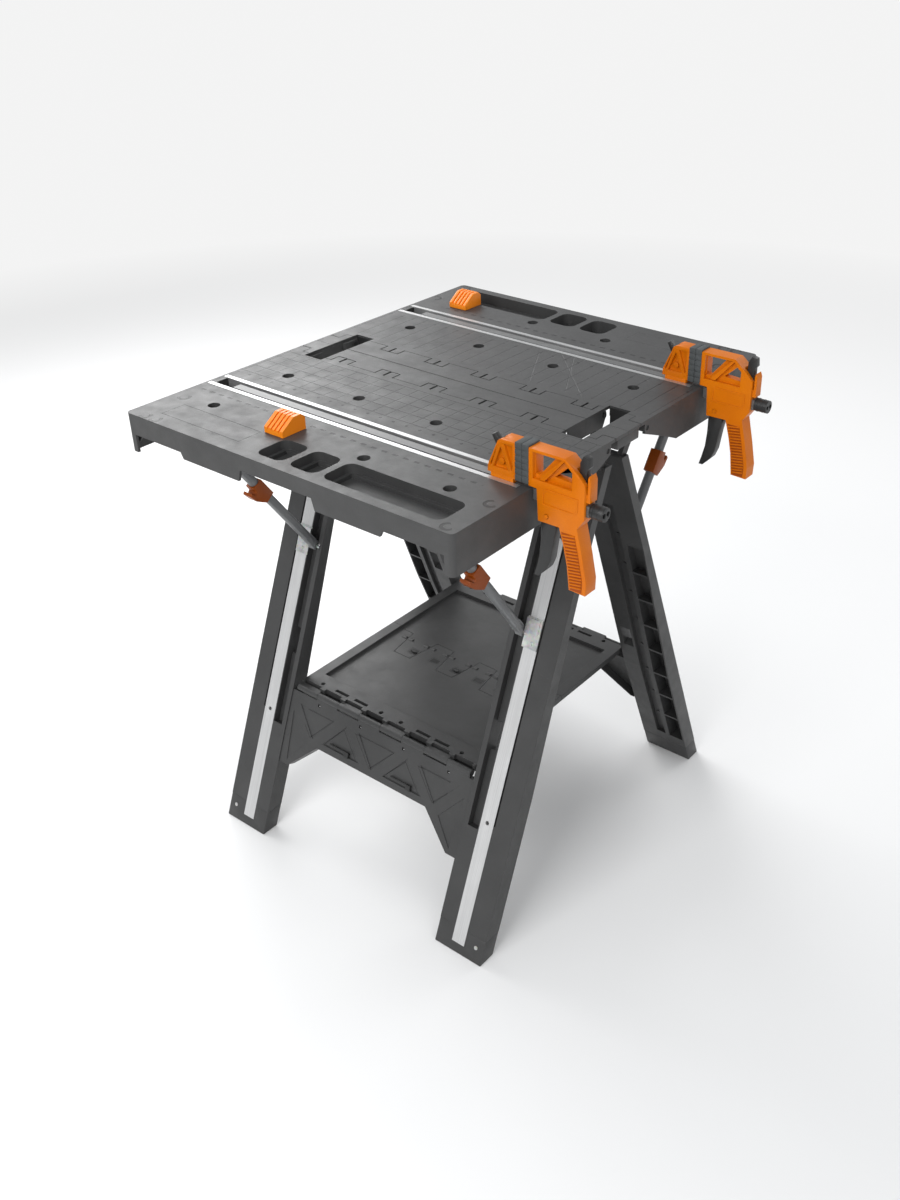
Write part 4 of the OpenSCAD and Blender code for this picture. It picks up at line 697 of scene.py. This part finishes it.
def shelf_details():
    """Ends of the pins in the pockets along the shelf's seam."""
    pins = Form()
    for x in PIN_MIDDLES:
        pins.rod(PIN_PLACE, PIN_RADIUS, 0, x - PIN_HALF_LENGTH, x + PIN_HALF_LENGTH, PIN_SIDES)
        pins.box(x - CROSS_HALF, x + CROSS_HALF, *CROSS_ENDS, *CROSS_LEVELS)
    pins.done("shelf_pocket_pins", "rod", "shelf_front_half", bevel=0.4)


# Guards and lips of painted shade: black plates that close the view through the shelf's hinges, in
# millimetres
GUARD_HALF_LENGTH, GUARD_FROM, GUARD_TO = 192, 26, 9.5
GUARD_TOP, GUARD_LOW = 4, 5.6
LIP_HALF_LENGTH, LIP_FROM, LIP_TO = 200, 3.5, 22
LIP_DROP, LIP_THICK = 8, 5


def hinge_details():
    """Black guards under the shelf's hinge slots and lips behind the cross panels' top edges, as painted
    shade in the slots.
    """
    level = on_lean(SHELF_AXIS - LIP_DROP, PANEL_FACE)
    face = PANEL_FACE - HINGE_Y
    for half, side in HALVES:
        y0, y1 = sorted((side * (SHELF_REACH - GUARD_FROM), side * (SHELF_REACH - GUARD_TO)))
        guard = Form()
        guard.box(-GUARD_HALF_LENGTH, GUARD_HALF_LENGTH, y0, y1,
                  SHELF_AXIS - GUARD_LOW, SHELF_AXIS - GUARD_TOP)
        # Black, as painted shade in the hinge slot
        guard.done(f"{half}_hinge_slot_shade", "black", f"shelf_{half}_half", bevel=0.2)
        lip = Form()
        lip.box(-LIP_HALF_LENGTH, LIP_HALF_LENGTH, face + LIP_FROM, face + LIP_TO, level - LIP_THICK, level)
        # Black, as painted shade behind the panel's top edge
        lip.done(f"{half}_panel_lip_shade", "black", f"{half}_frame", bevel=0.2, turn=side > 0, lean=True)


# Screws in the foot caps, in millimetres
FOOT_SCREW_X, FOOT_SCREW_HEIGHT, FOOT_SCREW_RADIUS = 284, 24, 3.4
FOOT_SCREW_PROUD, FOOT_SCREW_SUNK = 0.9, 1


def foot_details():
    """Screws in the foot caps."""
    level = on_lean(FOOT_SCREW_HEIGHT, LEG_FACE)
    face = LEG_FACE - HINGE_Y
    for half, side in HALVES:
        feet = Form()
        for x in (-FOOT_SCREW_X, FOOT_SCREW_X):
            feet.rod((x, level), FOOT_SCREW_RADIUS, 1, face - FOOT_SCREW_PROUD, face + FOOT_SCREW_SUNK)
        feet.done(f"{half}_foot_screws", "zinc", f"{half}_frame", bevel=0.5, turn=side > 0, lean=True)


# Walls of the hand holes, black as painted shade, in millimetres: just inside the holes' edges on the table
# halves
HOLE_ENDS = ((-281, -245), (245, 281))
WALL_LOW, WALL_HIGH = 778, 811
WALL_GAP, WALL_INNER = 0.2, 1.8


def handle_details():
    """Black walls in the hand holes, painted shade that closes the view under the table halves."""
    for half, side in HALVES:
        y0, y1 = sorted((side * (HOLE_HALF - WALL_GAP), side * (HOLE_HALF - WALL_INNER)))
        walls = Form()
        for x0, x1 in HOLE_ENDS:
            walls.box(x0, x1, y0, y1, WALL_LOW, WALL_HIGH)
        # Black, as painted shade inside the hand holes
        walls.done(f"{half}_hole_shade_walls", "black", f"{half}_wing", bevel=0.3)


# Rings of a bar's knob: radius, and start and end from where the knob starts, in millimetres
KNOB_RINGS = ((10.6, 2.5, 6), (10.4, 12, 14.5))


def knob_details():
    """Rings round the knobs at the ends of the clamp bars."""
    for half, side in HALVES:
        rings = Form()
        for radius, start, end in KNOB_RINGS:
            rings.rod((side * TRACK_Y, BAR_Z), radius, 0, KNOB_X + start, KNOB_X + end)
        rings.done(f"{half}_knob_rings", "black", f"{half}_clamp", bevel=0.8)


# Stage, light and camera: lengths in metres, powers in watts
FLOOR_SIZE = 60
FLOOR_DROP = 0.0005
FADE_FROM, FADE_TO = 1.2, 4.0
PAPER, PAPER_ROUGHNESS = (0.86, 0.86, 0.86, 1), 0.95
BACKDROP = (0.9, 0.9, 0.9, 1)
SKY, SKY_STRENGTH = (0.96, 0.98, 1.0, 1), 0.55
# Each light's name, place, target, size and power
LIGHTS = (("sheen", (-2.1, 0.7, 2.0), (0, 0, 0.75), (2.2, 2.2), 66),
          ("key", (0.3, -2.6, 2.3), (0, 0, 0.5), (1.8, 1.6), 52),
          ("fill", (2.8, -2.0, 1.5), (0, 0, 0.45), (2.0, 2.0), 18),
          ("rim", (0.6, 3.0, 2.4), (0, 0, 0.7), (2.4, 1.2), 24))


def set_stage():
    """A pale paper floor that fades to an even backdrop away from the part."""
    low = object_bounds()[0].z
    bpy.ops.mesh.primitive_plane_add(size=FLOOR_SIZE, location=(0, 0, low - FLOOR_DROP))
    floor = bpy.context.object
    floor.name = "stage_floor"
    n = Nodes("stage_paper")
    n.shader.inputs["Base Color"].default_value = PAPER
    n.shader.inputs["Roughness"].default_value = PAPER_ROUGHNESS
    light = n.add("ShaderNodeLightPath")
    glow = n.add("ShaderNodeEmission")
    glow.inputs["Color"].default_value = BACKDROP
    blend = n.add("ShaderNodeMixShader")
    away = n.add("ShaderNodeVectorMath", operation="LENGTH")
    n.link(n.position, away.inputs[0])
    fade = n.spread(away.outputs["Value"], FADE_FROM, FADE_TO, 0, 1)
    seen = n.either(light.outputs["Is Camera Ray"], light.outputs["Is Glossy Ray"],
                    light.outputs["Is Transmission Ray"])
    n.link(n.both(fade, seen), blend.inputs["Fac"])
    n.link(n.shader.outputs["BSDF"], blend.inputs[1])
    n.link(glow.outputs["Emission"], blend.inputs[2])
    n.link(blend.outputs["Shader"], n.tree.nodes["Material Output"].inputs["Surface"])
    floor.data.materials.append(n.material)


def area_light(name, place, target, size, power):
    """A rectangular soft light that faces a target."""
    lamp = bpy.data.lights.new(name, "AREA")
    lamp.shape = "RECTANGLE"
    lamp.size, lamp.size_y = size
    lamp.energy = power
    obj = bpy.data.objects.new(name, lamp)
    obj.location = place
    obj.rotation_euler = (Vector(target) - Vector(place)).to_track_quat("-Z", "Y").to_euler()
    bpy.context.scene.collection.objects.link(obj)


def set_lights():
    """An even sky that the camera sees as the backdrop, and the soft lights."""
    world = bpy.data.worlds.new("studio")
    bpy.context.scene.world = world
    world.use_nodes = True
    tree = world.node_tree
    back = tree.nodes["Background"]
    back.inputs["Color"].default_value = SKY
    back.inputs["Strength"].default_value = SKY_STRENGTH
    seen = tree.nodes.new("ShaderNodeBackground")
    seen.inputs["Color"].default_value = BACKDROP
    path = tree.nodes.new("ShaderNodeLightPath")
    blend = tree.nodes.new("ShaderNodeMixShader")
    tree.links.new(path.outputs["Is Camera Ray"], blend.inputs["Fac"])
    tree.links.new(back.outputs["Background"], blend.inputs[1])
    tree.links.new(seen.outputs["Background"], blend.inputs[2])
    tree.links.new(blend.outputs["Shader"], tree.nodes["World Output"].inputs["Surface"])
    for light in LIGHTS:
        area_light(*light)


# The camera was fitted to the table's corners, the feet and the shelf in the photograph: angles in
# degrees, lengths in metres, the sensor in millimetres
CAMERA_AZIMUTH = 37.2
CAMERA_ELEVATION = 30.8
CAMERA_DISTANCE = 2.187
CAMERA_TARGET = Vector((0.0334, 0.1246, 0.400))
PHOTO_WIDTH, PHOTO_HEIGHT = 900, 1200
FOCAL_PX = 1211
OPTICAL_AXIS_PX = (523.7, 581.1)
SENSOR = 36


def set_camera():
    """The photograph's camera, with its optical axis off the frame's middle."""
    a, e = math.radians(CAMERA_AZIMUTH), math.radians(CAMERA_ELEVATION)
    back = Vector((math.sin(a) * math.cos(e), -math.cos(a) * math.cos(e), math.sin(e)))
    data = bpy.data.cameras.new("camera")
    data.sensor_width = SENSOR
    data.lens = FOCAL_PX / PHOTO_HEIGHT * SENSOR
    data.shift_x = (PHOTO_WIDTH / 2 - OPTICAL_AXIS_PX[0]) / PHOTO_HEIGHT
    data.shift_y = (OPTICAL_AXIS_PX[1] - PHOTO_HEIGHT / 2) / PHOTO_HEIGHT
    camera = bpy.data.objects.new("camera", data)
    camera.location = CAMERA_TARGET + back * CAMERA_DISTANCE
    camera.rotation_euler = (-back).to_track_quat("-Z", "Y").to_euler()
    bpy.context.scene.collection.objects.link(camera)
    bpy.context.scene.camera = camera


# Assembly. How wide the edges of the small nodes are rounded, in millimetres, by the first of these words
# in the name
SOFT_WIDTHS = {"clamp_body": 1.4, "trigger": 1.5, "release": 1.0, "knob": 1.2, "jaw": 0.9, "dog": 1.2,
               "clip": 1.0, "handle": 1.2, "pad": 0.8, "strut": 0.5, "foot": 1.0}


def soften_all():
    """Rounded copies of the small CAD nodes; the large ones get round edges from their material."""
    for node in sorted(nodes):
        if "brackets" in node:
            continue
        for word, width in SOFT_WIDTHS.items():
            if word in node:
                softened(node, width)
                break


set_camera()
set_stage()
set_lights()
for name, obj in nodes.items():
    obj.data.materials.clear()
    obj.data.materials.append(material_for(name))
soften_all()
clamp_details()
panel_details()
shelf_details()
hinge_details()
foot_details()
handle_details()
knob_details()
bpy.context.scene.view_settings.view_transform = "Standard"
